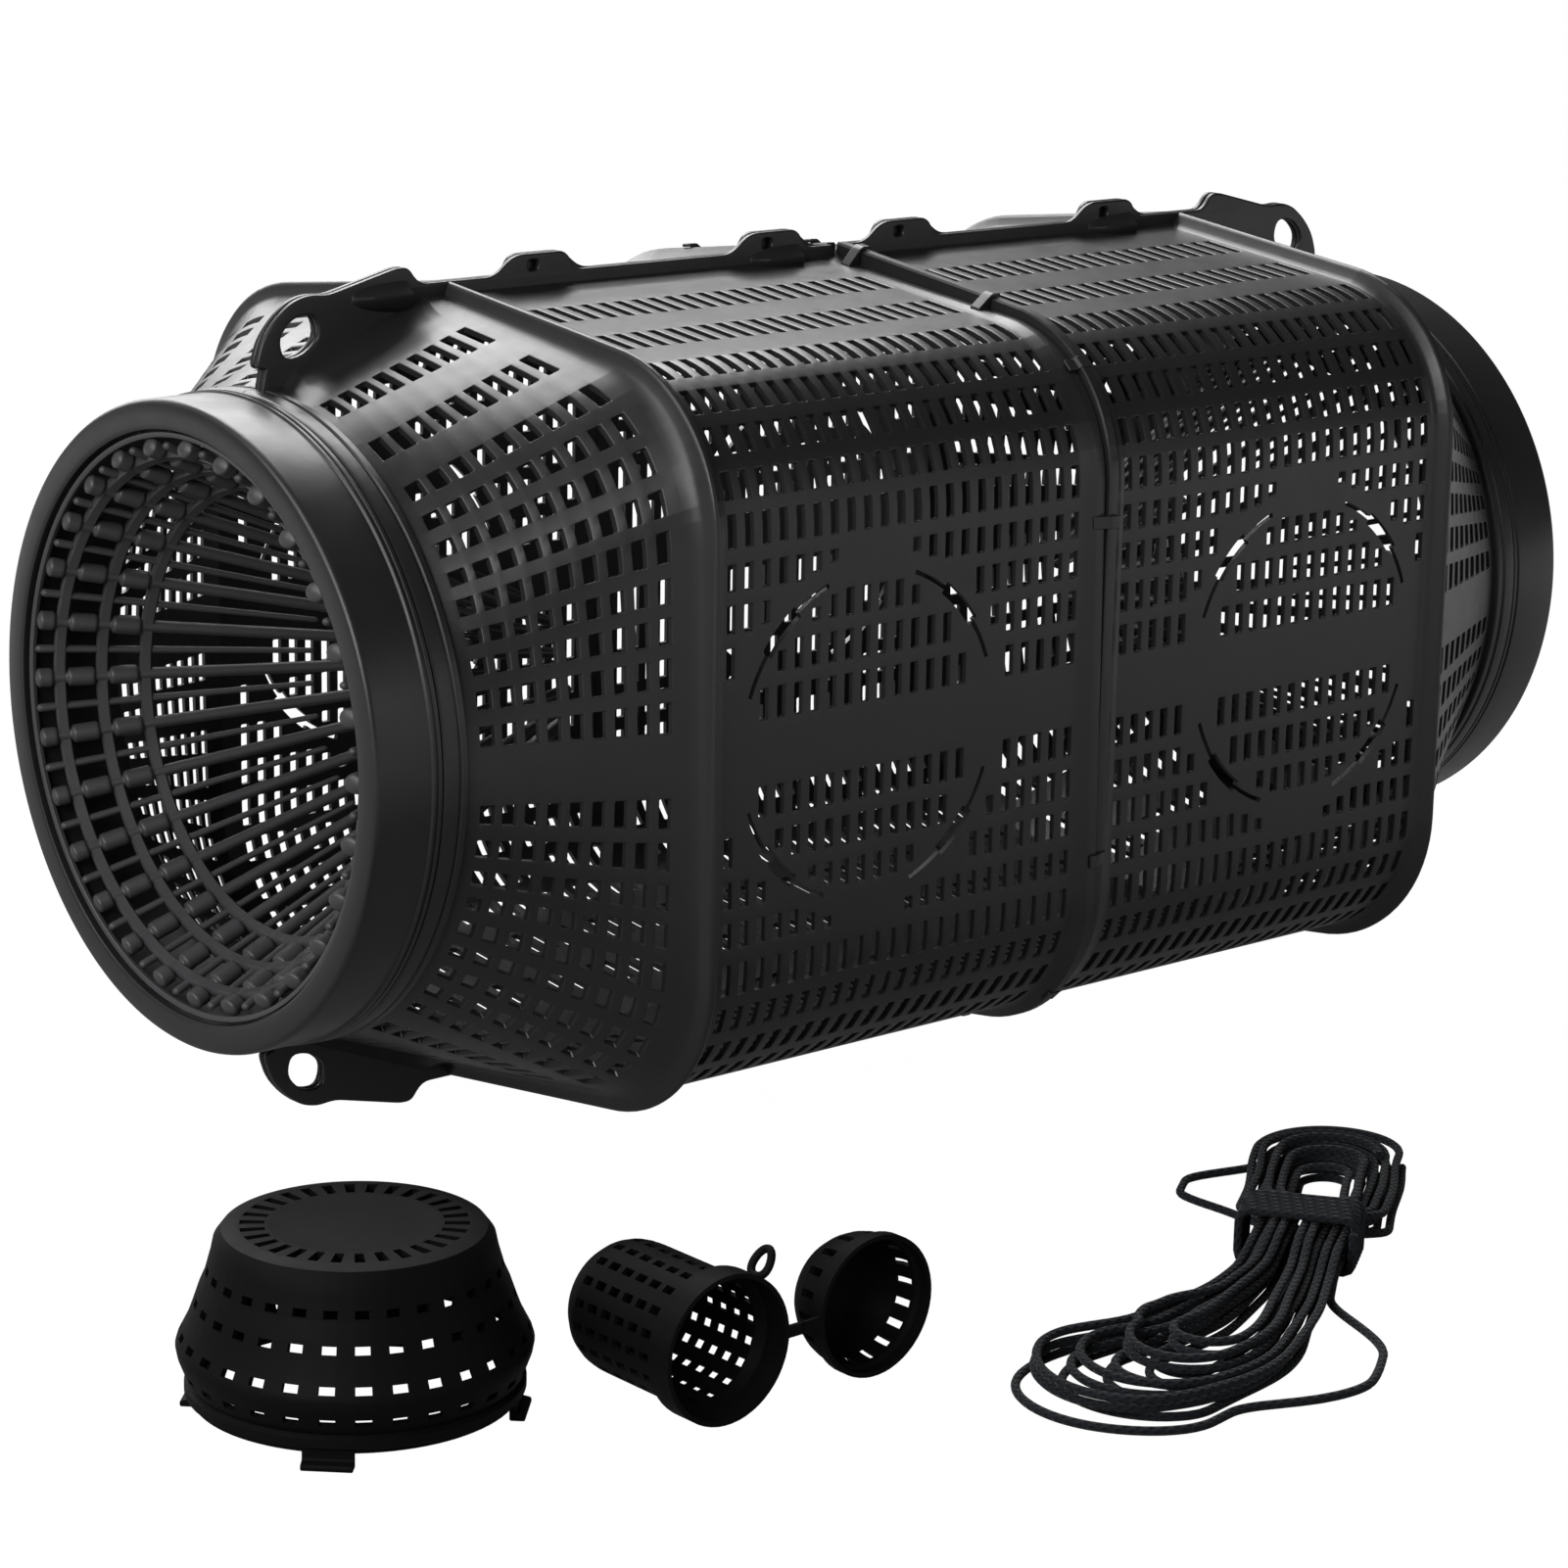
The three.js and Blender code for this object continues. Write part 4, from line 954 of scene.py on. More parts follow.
def slot_span(start, end, part, row_start, row_end):
    """Where a slot begins and ends down the outline, or None where there is no slot."""
    if part == "barrel":
        return seat_clear(start, end, row_start, row_end)
    share = (end - CONE_SLOT_FIRST) / (CONE_SLOT_LAST - CONE_SLOT_FIRST)
    trim = (row_end - row_start) * (1 - mix(1.0, CONE_SLOT_SHRINK, share)) / 2
    return row_start + trim, row_end - trim


def shell_sheet():
    """The perforated wall of a quarter, with its slots' edges bevelled and rounded."""
    lines = station_lines()
    walks = walk_lines()
    along = np.repeat(lines[:, None], len(walks), axis=1)
    walk = np.repeat(walks[None, :], len(lines), axis=0)
    lift = station_lifts(lines, walks)
    depth = np.array([depth_at(line) for line in lines])[:, None]
    is_open = np.zeros((len(lines) - 1, len(walks) - 1), bool)
    for start, end, part in slot_columns():
        first = int(np.argmin(abs(lines - start)))
        for row_start, row_end in slot_rows():
            span = slot_span(start, end, part, row_start, row_end)
            if span is None:
                continue
            top = int(np.argmin(abs(walks - row_start)))
            bottom = int(np.argmin(abs(walks - row_end)))
            is_open[first, top:bottom] = True
            inside = np.clip((walks[top : bottom + 1] - row_start) / (row_end - row_start), 0, 1)
            moved = span[0] + inside * (span[1] - span[0])
            moved[1], moved[-2] = span[0] + SLOT_CORNER, span[1] - SLOT_CORNER
            for line in (first - 1, first, first + 1, first + 2):
                walk[line, top : bottom + 1] = moved
                walk[line, top - 1] = span[0] - SLOT_BEVEL
                walk[line, bottom + 1] = span[1] + SLOT_BEVEL
            along[first, [top, bottom]] += SLOT_CORNER
            along[first + 1, [top, bottom]] -= SLOT_CORNER
            lift[first : first + 2, top : bottom + 1] -= SLOT_BEVEL_DEPTH
    outer = shell_points(along, walk, lift)
    inner = shell_points(along, walk, -np.broadcast_to(depth, along.shape))
    return grid_sheet(outer, inner, is_open)


# The seam plates stand over the shell along the seams, with tabs, windows and cord loops

SEAM_THICKNESS = 2.6
SEAM_BEVEL = 0.8
SEAM_TOP = ROOF_TOP + RIB_STAND
SEAM_END = 271.0
TAB_PLACES = (34.0, 147.0)
TAB_HALF_BASE = 16.0
TAB_HALF_TIP = 12.0
TAB_FLARE = 5.0
CONE_TAB_START = 202.0
CONE_TAB_TIP = 207.0
CONE_TAB_WIDTH = 5.0
CONE_TAB_DROP = 1.0
TAB_ROUNDING = 4.5
LOOP_MIDDLE = (257.5, 137.0)
LOOP_REACH = 16.0
LOOP_OUTER_SHARES = (
    (-0.97, 0.79), (-0.47, 0.84), (-0.03, 0.72), (0.41, 0.39), (0.78, -0.06), (1, -0.75),
)
LOOP_HOLE_ROUNDING = 4.5
LOOP_HOLE_SHARES = (
    (-0.74, -0.16), (-0.24, -0.5), (0.24, -0.54), (0.35, -0.06), (-0.01, 0.35), (-0.61, 0.43),
)
WINDOW_HEIGHT = TAB_TIP - 4.5
WINDOW_HALF_LENGTH = 2.4
WINDOW_HALF_HEIGHT = 1.9
WINDOW_ASIDE = 3.6
WINDOW_PLACES = (*TAB_PLACES, CONE_TAB_TIP + 6.0)
LENS_HALF_LENGTH = 12.0
LENS_LEDGE = 148.0
LENS_SLICES = 18
LENS_TIP = 0.02
LENS_FOOT = 0.25
LENS_FULLNESS = 2.4
LENS_BLUNTNESS = 0.7
LENS_PLACES = (*TAB_PLACES, CONE_TAB_TIP + 13.0)
LENS_SECTION = (
    (-1.0, 4.4), (0.0, 4.4), (1.6, 2.6), (3.9, 0.5), (4.4, -0.2), (4.3, -1.6), (3.4, -3.8),
    (1.8, -5.6), (0.0, -6.6), (-1.0, -6.6),
)


def loop_places(shares):
    """Places on a cord loop's outline, from shares of its reach."""
    return [
        (LOOP_MIDDLE[0] + along * LOOP_REACH, LOOP_MIDDLE[1] + up * LOOP_REACH)
        for along, up in shares
    ]


def seam_outline(up_down):
    """A seam plate's outline. It starts at the middle joint, where its corner isn't rounded.

    A tab's foot is longer towards the neck above and towards the middle below.
    """
    top = [(HALF_SEAM, SEAM_TOP)]
    for centre in TAB_PLACES:
        near_flare, far_flare = (0.0, TAB_FLARE) if up_down > 0 else (TAB_FLARE, 0.0)
        top += [
            (centre - TAB_HALF_BASE - near_flare, SEAM_TOP), (centre - TAB_HALF_TIP, TAB_TIP),
            (centre + TAB_HALF_TIP, TAB_TIP), (centre + TAB_HALF_BASE + far_flare, SEAM_TOP),
        ]
    top += [
        (CONE_TAB_START, SEAM_TOP), (CONE_TAB_TIP, TAB_TIP - CONE_TAB_DROP),
        (CONE_TAB_TIP + CONE_TAB_WIDTH, TAB_TIP - CONE_TAB_DROP),
        *loop_places(LOOP_OUTER_SHARES),
    ]
    foot = [
        (SEAM_END, CONE_END_RADIUS), (SEAM_END, CONE_END_RADIUS - WALL),
        (CONE_END, CONE_END_RADIUS - WALL), (RIB_END, ROOF_TOP - WALL),
        (HALF_SEAM, ROOF_TOP - WALL),
    ]
    return [*rounded(top, TAB_ROUNDING)[ROUNDING_STEPS:], *foot]


def seam_plate(up_down):
    """The upper (1) or lower (-1) seam plate of a quarter, with an oval hole in each tab."""

    def flipped(ring):
        return [(-x, up_down * z) for x, z in ring]

    holes = [flipped(rounded(loop_places(LOOP_HOLE_SHARES), LOOP_HOLE_ROUNDING))]
    for place in WINDOW_PLACES:
        centre = place + up_down * WINDOW_ASIDE
        low = (centre - WINDOW_HALF_LENGTH, WINDOW_HEIGHT - WINDOW_HALF_HEIGHT)
        high = (centre + WINDOW_HALF_LENGTH, WINDOW_HEIGHT + WINDOW_HALF_HEIGHT)
        oval = rounded([low, (high[0], low[1]), high, (low[0], high[1])], WINDOW_HALF_HEIGHT)
        if abs(centre - LENS_PLACES[-1]) > LENS_HALF_LENGTH:
            holes.append(flipped(oval))
    outline = flipped(seam_outline(up_down))
    made = plate("seam", outline, SEAM_THICKNESS, SEAM_BEVEL, holes)
    made.data.transform(Matrix.Translation((0, -(HALF_SEAM + SEAM_THICKNESS / 2) * MM, 0)))
    return made


def lens_boss(place, up_down):
    """The thumb catch on a tab: a half lens with a ledge, square at one end and pointed."""
    section = np.array(LENS_SECTION)
    shares = 1 - np.linspace(1, LENS_TIP, LENS_SLICES) ** 2
    rings = []
    for share in shares:
        size = (1 - share**LENS_FULLNESS) ** LENS_BLUNTNESS
        along = place + up_down * LENS_HALF_LENGTH * (2 * share - 1)
        out = HALF_SEAM + SEAM_THICKNESS + section[:, 0] * np.where(section[:, 0] > 0, size, 1)
        height = up_down * (LENS_LEDGE + section[:, 1] * mix(LENS_FOOT, 1.0, size))
        rings.append(np.stack([np.full(len(section), -along), -out, height], axis=1))
    faces = stack_faces(len(rings), len(section))
    return mesh_object("lens", np.concatenate(rings), faces, LATHED_DEGREES)


# Hooks reach over the crest of the middle joint

HOOK_WALKS = (12.0, 86.0, 196.0, OUTLINE - 137.0)
HOOK_HALF_WIDTH = 2.4
HOOK_THICKNESS = 1.3
HOOK_REACH = 4.5
HOOK_ROOT = 6.0
HOOK_GAP = 0.3
HOOK_ROUNDING = 0.6
HOOK_BEVEL = 0.3


def middle_hook(walk):
    """A small clip over the middle joint's crest, with its end turned down."""
    y, z, ny, nz = (float(value) for value in outline_places(np.array(walk)))
    own = middle_stand_at(walk)
    under = middle_stand_at(OUTLINE - walk) + HOOK_GAP
    top = under + HOOK_THICKNESS
    profile = [
        (-HOOK_ROOT, own + 0.2), (-0.8, max(own + 0.6, top - 1.0)), (0.6, top), (HOOK_REACH, top),
        (HOOK_REACH, under), (0.3, under), (-0.6, min(own, under) - 0.8), (-HOOK_ROOT, own - 1.2),
    ]
    hook = plate("hook", rounded(profile, HOOK_ROUNDING), 2 * HOOK_HALF_WIDTH, HOOK_BEVEL)
    turn = Matrix.Rotation(math.atan2(ny, nz), 4, "X")
    hook.data.transform(Matrix.Translation((0, -y * MM, z * MM)) @ turn)
    return hook


def seat_cutter(quarter):
    """An arc slot of the bayonet seat, with the wider middle that a lug drops through."""
    middle = quarter * 90 + 45
    places = []
    for start, end, width in (
        (-SEAT_SLOT_HALF_ANGLE, -SEAT_LUG_HALF_ANGLE, SEAT_SLOT_WIDTH),
        (-SEAT_LUG_HALF_ANGLE, SEAT_LUG_HALF_ANGLE, SEAT_LUG_WIDTH),
        (SEAT_LUG_HALF_ANGLE, SEAT_SLOT_HALF_ANGLE, SEAT_SLOT_WIDTH),
    ):
        places += [(angle, width) for angle in np.linspace(start, end, SEAT_STEPS + 1)]
    edges = []
    for side, run in ((1, places), (-1, places[::-1])):
        for angle, width in run:
            turn = math.radians(middle + angle)
            radius = SEAT_RADIUS + side * width / 2
            along = -SEAT_CENTRE + radius * math.cos(turn)
            edges.append((along, radius * math.sin(turn)))
    cutter = plate("cutter", edges, SEAT_CUTTER_DEPTH, 0.0)
    cutter.data.transform(Matrix.Translation((0, -SHELL_HALF_WIDTH * MM, 0)))
    return cutter


def shell_quarter():
    """The moulding that all four quarters share."""
    sheet = mesh_object("quarter", *shell_sheet(), SHEET_DEGREES)
    cut(sheet, [seat_cutter(quarter) for quarter in range(4)])
    upper, lower = 1, -1
    tongued = [(LENS_PLACES[0], upper), (LENS_PLACES[2], upper), (LENS_PLACES[1], lower)]
    pieces = [
        sheet,
        seam_plate(upper),
        seam_plate(lower),
        *[lens_boss(place, up_down) for place, up_down in tongued],
        *[middle_hook(walk) for walk in HOOK_WALKS],
    ]
    return joined("quarter", pieces)


def make_shells(material):
    """Four copies of one moulding, turned half a turn about each axis in its turn."""
    quarter = shell_quarter()
    turns = {
        "front_left_shell": Matrix.Identity(4),
        "front_right_shell": turned(180, "Y"),
        "back_left_shell": turned(180, "X"),
        "back_right_shell": turned(180, "Z"),
    }
    for node, turn in turns.items():
        shell = trap_copy(quarter, node, turn)
        keep_flats(shell)
        body = "front_half" if node.startswith("front") else "back_half"
        stand_for(shell, material, body, node)
    bpy.data.objects.remove(quarter)


# The collars and the entry funnels

RING_SEGMENTS = 192
COLLAR_RADIUS = 117.3
COLLAR_SKIRT_WALL = 2.4
COLLAR_LIP = 2.5
COLLAR_BEAD = 0.8
HUB_OUTER = 112.3
HUB_GROOVE = 108.3
HUB_INNER = 106.6
FUNNEL_MOUTH = 105.3
THROAT_RADIUS = 33.0
FUNNEL_DEPTH = 150.0
ROD_COUNT = 28
ROD_START = 2.2
HOOP_DEPTHS = (10.5, 24.5, 39.0)
HOOP_HALF_WIDTH = 2.3
THIN_ROD_DEPTH = 96.0
ROD_RADII = (2.7, 2.4)
PILLOW_SWELL = 1.5
PILLOW_SQUARENESS = 14
ROD_ROUNDING = 1.6
ROD_SIDES = 14
ROD_TIP_LEAST = 0.02
THIN_ROD_RADII = (1.8, 1.2)
THIN_ROD_ROUNDING = 1.5
ROD_FLATNESS = 0.85
ROD_UNDER = 3.2
RIM_FRONT = 2.4
RIM_BACK = 4.2
RIM_DEPTH = 1.8
RIM_EDGE = (0.5, 0.6)
HOOP_SECTION = (
    (-2.3, 1.6), (-2.3, -1.1), (-1.6, -2.0), (1.6, -2.0), (2.3, -1.1), (2.3, 1.6), (1.7, 2.2),
    (-1.7, 2.2),
)


def collar_profile():
    """(along, radius) of the collar: its hub with a groove, its beaded skirt and its lip."""
    front, radius = HALF_LENGTH, COLLAR_RADIUS
    bead, skirt_inner = radius + COLLAR_BEAD, radius - COLLAR_SKIRT_WALL
    skirt = NECK_END + 0.4
    groove_front = FLANGE_FRONT + 1.0
    groove_back = FLANGE_BACK - 1.0
    lip_back = front - COLLAR_LIP
    hub = [
        (front - 0.7, HUB_INNER), (groove_back - 2.6, HUB_INNER),
        (groove_back - 2.6, HUB_OUTER - 0.4), (groove_back - 2.0, HUB_OUTER),
        (groove_back, HUB_OUTER), (groove_back, HUB_GROOVE), (groove_front, HUB_GROOVE),
        (groove_front, HUB_OUTER), (lip_back, HUB_OUTER), (lip_back, skirt_inner),
    ]
    beads = [
        (skirt, skirt_inner), (skirt, bead - 0.4), (skirt + 0.4, bead), (skirt + 1.6, bead),
        (skirt + 2.0, radius + 0.1), (skirt + 2.6, radius + 0.1), (skirt + 3.0, bead),
        (skirt + 3.8, bead), (skirt + 4.4, radius),
    ]
    lip = [
        (front - 2.4, radius), (front - 1.4, radius - 0.25), (front - 0.5, radius - 0.9),
        (front, radius - 2.0), (front, HUB_INNER + 1.6), (front - 0.2, HUB_INNER + 0.7),
    ]
    return [*hub, *beads, *lip]


def funnel_radius(depth):
    """The radius of the funnel's cone at this depth from its mouth."""
    return mix(FUNNEL_MOUTH, THROAT_RADIUS, depth / FUNNEL_DEPTH)


def funnel_rod(turn, depths, radii, under):
    """A rod of the funnel along one of its sides, a little under the cone's surface."""
    radius = funnel_radius(depths) - under
    places = [HALF_LENGTH - depths, radius * math.sin(turn), radius * math.cos(turn)]
    return tube(np.stack(places, axis=1), radii, ROD_SIDES, ROD_FLATNESS)


def stations(*runs):
    """Depths along a rod, as runs of (start, end, count)."""
    return np.concatenate([np.linspace(*run) for run in runs])


def rounded_ends(depths, sizes, length):
    """The sizes of a rod drawn in to a round tip at both of its ends."""
    from_end = np.minimum(depths - depths[0], depths[-1] - depths) / length
    return sizes * np.sqrt(1 - (1 - from_end.clip(ROD_TIP_LEAST, 1)) ** 2)


def thick_rod(turn):
    """A rod that swells into a pillow between hoops and runs on to the throat."""
    last_hoop = HOOP_DEPTHS[-1] + HOOP_HALF_WIDTH
    depths = stations(
        (ROD_START, ROD_START + ROD_ROUNDING, 6),
        (ROD_START + 2.0, last_hoop + 4, 110),
        (last_hoop + 8, FUNNEL_DEPTH - 3, 10),
        (FUNNEL_DEPTH - 2.4, FUNNEL_DEPTH, 7),
    )
    sizes = mix(*ROD_RADII, depths / FUNNEL_DEPTH)
    hoop_ends = [-HOOP_HALF_WIDTH, *HOOP_DEPTHS]
    for before, after in zip(hoop_ends, hoop_ends[1:]):
        start, end = before + HOOP_HALF_WIDTH, after - HOOP_HALF_WIDTH
        away = abs(2 * (depths - start) / (end - start) - 1)
        sizes = sizes + PILLOW_SWELL * (1 - away.clip(0, 1) ** PILLOW_SQUARENESS)
    sizes = rounded_ends(depths, sizes, ROD_ROUNDING)
    return funnel_rod(turn, depths, sizes, ROD_UNDER)


def thin_rod(turn):
    """A finger between two thick rods, which ends before the throat."""
    tip = THIN_ROD_ROUNDING
    depths = stations(
        (ROD_START, ROD_START + tip, 5),
        (ROD_START + 2 * tip, THIN_ROD_DEPTH - 2 * tip, 14),
        (THIN_ROD_DEPTH - tip, THIN_ROD_DEPTH, 5),
    )
    sizes = mix(*THIN_ROD_RADII, depths / THIN_ROD_DEPTH)
    return funnel_rod(turn, depths, rounded_ends(depths, sizes, tip), ROD_UNDER)


def funnel_hoop(depth):
    """A flat hoop that the rods pass through, with its edges rounded off."""
    radius = funnel_radius(depth) - ROD_UNDER
    slope = math.atan2(FUNNEL_MOUTH - THROAT_RADIUS, FUNNEL_DEPTH)
    profile = []
    for across, up in HOOP_SECTION:
        along = HALF_LENGTH - depth - across * math.cos(slope) - up * math.sin(slope)
        profile.append((along, radius - across * math.sin(slope) + up * math.cos(slope)))
    return lathe(profile, RING_SEGMENTS)


def funnel_rim():
    """The thin band that the rods' outer ends stand on, inside the collar's lip."""
    front, back = HALF_LENGTH - RIM_FRONT, HALF_LENGTH - RIM_BACK
    inner = FUNNEL_MOUTH - RIM_DEPTH
    profile = [
        (front, FUNNEL_MOUTH), (front, inner + RIM_EDGE[1]), (front - RIM_EDGE[0], inner),
        (back, inner), (back, FUNNEL_MOUTH),
    ]
    return lathe(profile, RING_SEGMENTS)


def make_entries(shell_material, funnel_material):
    """A collar and a funnel at each end, which turn together."""
    collar = mesh_object("collar", *lathe(collar_profile(), RING_SEGMENTS), LATHED_DEGREES)
    parts = [funnel_rim()]
    parts += [funnel_hoop(depth) for depth in HOOP_DEPTHS]
    for index in range(ROD_COUNT):
        turn = 2 * math.pi * index / ROD_COUNT
        parts.append(thick_rod(turn))
        parts.append(thin_rod(turn + math.pi / ROD_COUNT))
    funnel = mesh_object("funnel", *gathered(parts), FUNNEL_DEGREES)
    for side, turn in (("near", turned(180)), ("far", turned(0))):
        for source, kind, material, slot in (
            (collar, "collar", shell_material, "shell_plastic"),
            (funnel, "funnel", funnel_material, "funnel_plastic"),
        ):
            node = f"{side}_{kind}"
            stand_for(trap_copy(source, node, turn), material, f"{side}_entry", node)
    bpy.data.objects.remove(collar)
    bpy.data.objects.remove(funnel)


HOLE_CORNER_SHARE = 0.18


def profile_places(profile, thickness):
    """The outer profile's places and the same moved inwards by the wall's thickness."""
    outer = np.asarray(profile, float)
    step = np.gradient(outer, axis=0)
    step /= np.linalg.norm(step, axis=1, keepdims=True)
    inward = np.stack([step[:, 1], -step[:, 0]], axis=1)
    inner = outer + thickness * inward
    inner[0] = (0.0, outer[0, 1] - thickness)
    inner[-1, 1] = outer[-1, 1]
    inner[:, 0] = inner[:, 0].clip(0)
    return outer, inner


def round_wall(profile, thickness, count, open_spans, open_share):
    """A wall turned about Z, with slots in the given spans of its profile's length."""
    outer, inner = profile_places(profile, thickness)
    lengths = lengths_along(outer)
    rows = np.array(sorted({*lengths.tolist(), *[edge for span in open_spans for edge in span]}))
    outer, inner = (resampled(wall, lengths, rows) for wall in (outer, inner))
    bar = 1 - open_share
    edges = [open_share * share for share in (1 - HOLE_CORNER_SHARE, HOLE_CORNER_SHARE)]
    widths = np.array([0.0, bar / 2, bar, *(1 - edge for edge in edges)])
    turns = (2 * math.pi * (np.arange(count)[:, None] + widths) / count).ravel()
    columns = len(turns)

    def around(places):
        out, height = places[:, :1], np.repeat(places[:, 1:], columns, axis=1)
        return np.stack([out * np.cos(turns), out * np.sin(turns), height], axis=2)

    is_open = np.zeros((len(rows) - 1, columns), bool)
    middle = (rows[:-1] + rows[1:]) / 2
    gap = np.arange(columns) % len(widths) >= 2
    for start, end in open_spans:
        is_open[np.ix_((middle > start) & (middle < end), gap)] = True
    return grid_sheet(around(outer), around(inner), is_open, closed_round=True)


def in_sizes(shares, radius, height):
    """A profile from shares of its radius and height."""
    return [(out * radius, up * height) for out, up in shares]


# The bait basket

BASKET_RADIUS = 55.5
BASKET_HEIGHT = 60.0
BASKET_WALL = 2.0
BASKET_SLOTS = 30
BASKET_OPEN_SHARE = 0.46
BASKET_TOP_SHARES = (0.5, 0.64)
BASKET_ROW_HEIGHTS = (47.0, 37.0, 26.0, 15.5)
BASKET_ROW_WIDTH = 2.6
BASKET_LUG_DROP = 5.0
BASKET_LUG_RISE = 2.0
BASKET_LUG_REACH = 3.0
BASKET_LUG_WIDTH = 16.0
BASKET_LUG_ROUNDING = 0.8
BASKET_LUG_BEVEL = 0.4
BASKET_SHARES = (
    (0, 0.985), (0.3, 0.985), (0.44, 0.993), (0.47, 1), (0.667, 1), (0.739, 0.985), (0.784, 0.93),
    (0.8, 0.86), (0.822, 0.79), (0.836, 0.742), (0.868, 0.675), (0.908, 0.567), (0.935, 0.5),
    (0.99, 0.4), (1, 0.37), (0.99, 0.32), (0.944, 0.208), (0.925, 0.185), (0.955, 0.165),
    (0.955, 0.12), (0.919, 0.1), (0.919, 0.0833),
)


def basket_spans(profile):
    """Slots of the basket as spans of its profile's length."""
    places = np.asarray(profile)
    lengths = lengths_along(places)
    middles = np.interp(np.negative(BASKET_ROW_HEIGHTS), -places[:, 1], lengths)
    half = BASKET_ROW_WIDTH / 2
    top = tuple(share * BASKET_RADIUS for share in BASKET_TOP_SHARES)
    return [top, *((middle - half, middle + half) for middle in middles)]


def basket_lug(quarter):
    """One of the four feet that turn in the trap's bayonet seat."""
    rim = BASKET_SHARES[-1][0] * BASKET_RADIUS
    top = BASKET_LUG_DROP + BASKET_LUG_RISE
    outline = [
        (rim - BASKET_WALL, top), (rim - BASKET_WALL, 0.0), (rim + BASKET_LUG_REACH, 0.0),
        (rim + BASKET_LUG_REACH, 2.0), (rim, 2.6), (rim, top),
    ]
    outline = rounded(outline, BASKET_LUG_ROUNDING)
    lug = plate("lug", outline, BASKET_LUG_WIDTH, BASKET_LUG_BEVEL)
    lug.data.transform(turned(quarter * 90 + 45))
    return lug


def make_basket(material):
    """The perforated dome on its four lugs."""
    profile = in_sizes(BASKET_SHARES, BASKET_RADIUS, BASKET_HEIGHT)
    spans = basket_spans(profile)
    wall = round_wall(profile, BASKET_WALL, BASKET_SLOTS, spans, BASKET_OPEN_SHARE)
    bowl = mesh_object("bowl", *wall, BOWL_DEGREES)
    basket = joined("moulded_bait_basket", [bowl, *[basket_lug(index) for index in range(4)]])
    basket.matrix_world = Matrix.Translation(BASKET_FOOT)
    keep_flats(basket)
    stand_for(basket, material, "front_half", "bait_basket")


# The bait box: a cup and a lid on one strap, which folds at its middle

BOX_RADIUS = 22.0
BOX_LENGTH = 64.0
BOX_WALL = 1.6
BOX_SLOTS = 18
CUP_ROWS = 6
CUP_FIRST_ROW = 28.0
CUP_ROW_PITCH = 6.6
CUP_ROW_WIDTH = 4.2
CUP_OPEN_SHARE = 0.37
LID_ROW = (27.5, 34.0)
LID_OPEN_SHARE = 0.34
BAND_RADIUS = 24.5
BAND_LENGTH = 9.5
MOUTH_SETBACK = 0.3
LID_RADIUS = 23.5
LID_DEPTH = 28.0
STRAP_HALF_WIDTH = 2.0
STRAP_THICKNESS = 1.6
STRAP_CENTRE = 30.5
STRAP_OVERLAP = 0.8
STRAP_BEVEL = 0.3
HANG_LOOP_TURN = -55.0
HANG_LOOP_REACH = 4.6
HANG_LOOP_POINT = 0.9
HANG_LOOP_HALF_WIDTH = 3.6
HANG_LOOP_THICKNESS = 2.7
HANG_LOOP_STEPS = 32
HANG_LOOP_SIDES = 10
CUP_SHARES = (
    (0, 1), (0.25, 0.993), (0.48, 0.973), (0.67, 0.94), (0.82, 0.9), (0.92, 0.85), (0.973, 0.8),
    (0.995, 0.75), (1, 0.703), (1, 0.19), (1.05, 0.175), (1.11, 0.155), (1.114, 0.145),
    (1.114, 0.0047),
)
LID_SHARES = (
    (0, 1), (0.2, 0.985), (0.404, 0.929), (0.58, 0.85), (0.715, 0.743), (0.82, 0.62),
    (0.894, 0.486), (0.928, 0.38), (0.94, 0.3), (0.945, 0.2), (1, 0.154), (1, 0.0107),
)


def half_strap(inner_radius):
    """The strap from the band or the lid to the line in its middle where it folds."""
    start, end = inner_radius - STRAP_OVERLAP, STRAP_CENTRE - HALF_SEAM
    low, high = MOUTH_SETBACK, MOUTH_SETBACK + STRAP_THICKNESS
    outline = [(start, low), (end, low), (end, high), (start, high)]
    return plate("strap", outline, 2 * STRAP_HALF_WIDTH, STRAP_BEVEL)


def hang_loop():
    """The loop beside the bait box's mouth, drawn out into a point."""
    turns = np.linspace(0, 2 * math.pi, HANG_LOOP_STEPS + 1)
    reach = HANG_LOOP_REACH + HANG_LOOP_POINT * np.cos(turns)
    out = BAND_RADIUS + HANG_LOOP_HALF_WIDTH + reach * np.cos(turns)
    up = BAND_LENGTH / 2 + HANG_LOOP_HALF_WIDTH * np.sin(turns)
    path = np.stack([out, 0 * turns, up], axis=1)
    ring = tube(path, HANG_LOOP_THICKNESS / 2, HANG_LOOP_SIDES)
    loop = mesh_object("loop", *ring, ROUND_DEGREES)
    loop.data.transform(turned(HANG_LOOP_TURN))
    return loop


def place_kit(obj, place, material, body, node):
    """Turns a piece of the bait box so that its mouth faces the front, and lets it ride."""
    obj.matrix_world = Matrix.Translation(place) @ turned(-90, "X")
    keep_flats(obj)
    stand_for(obj, material, body, node)


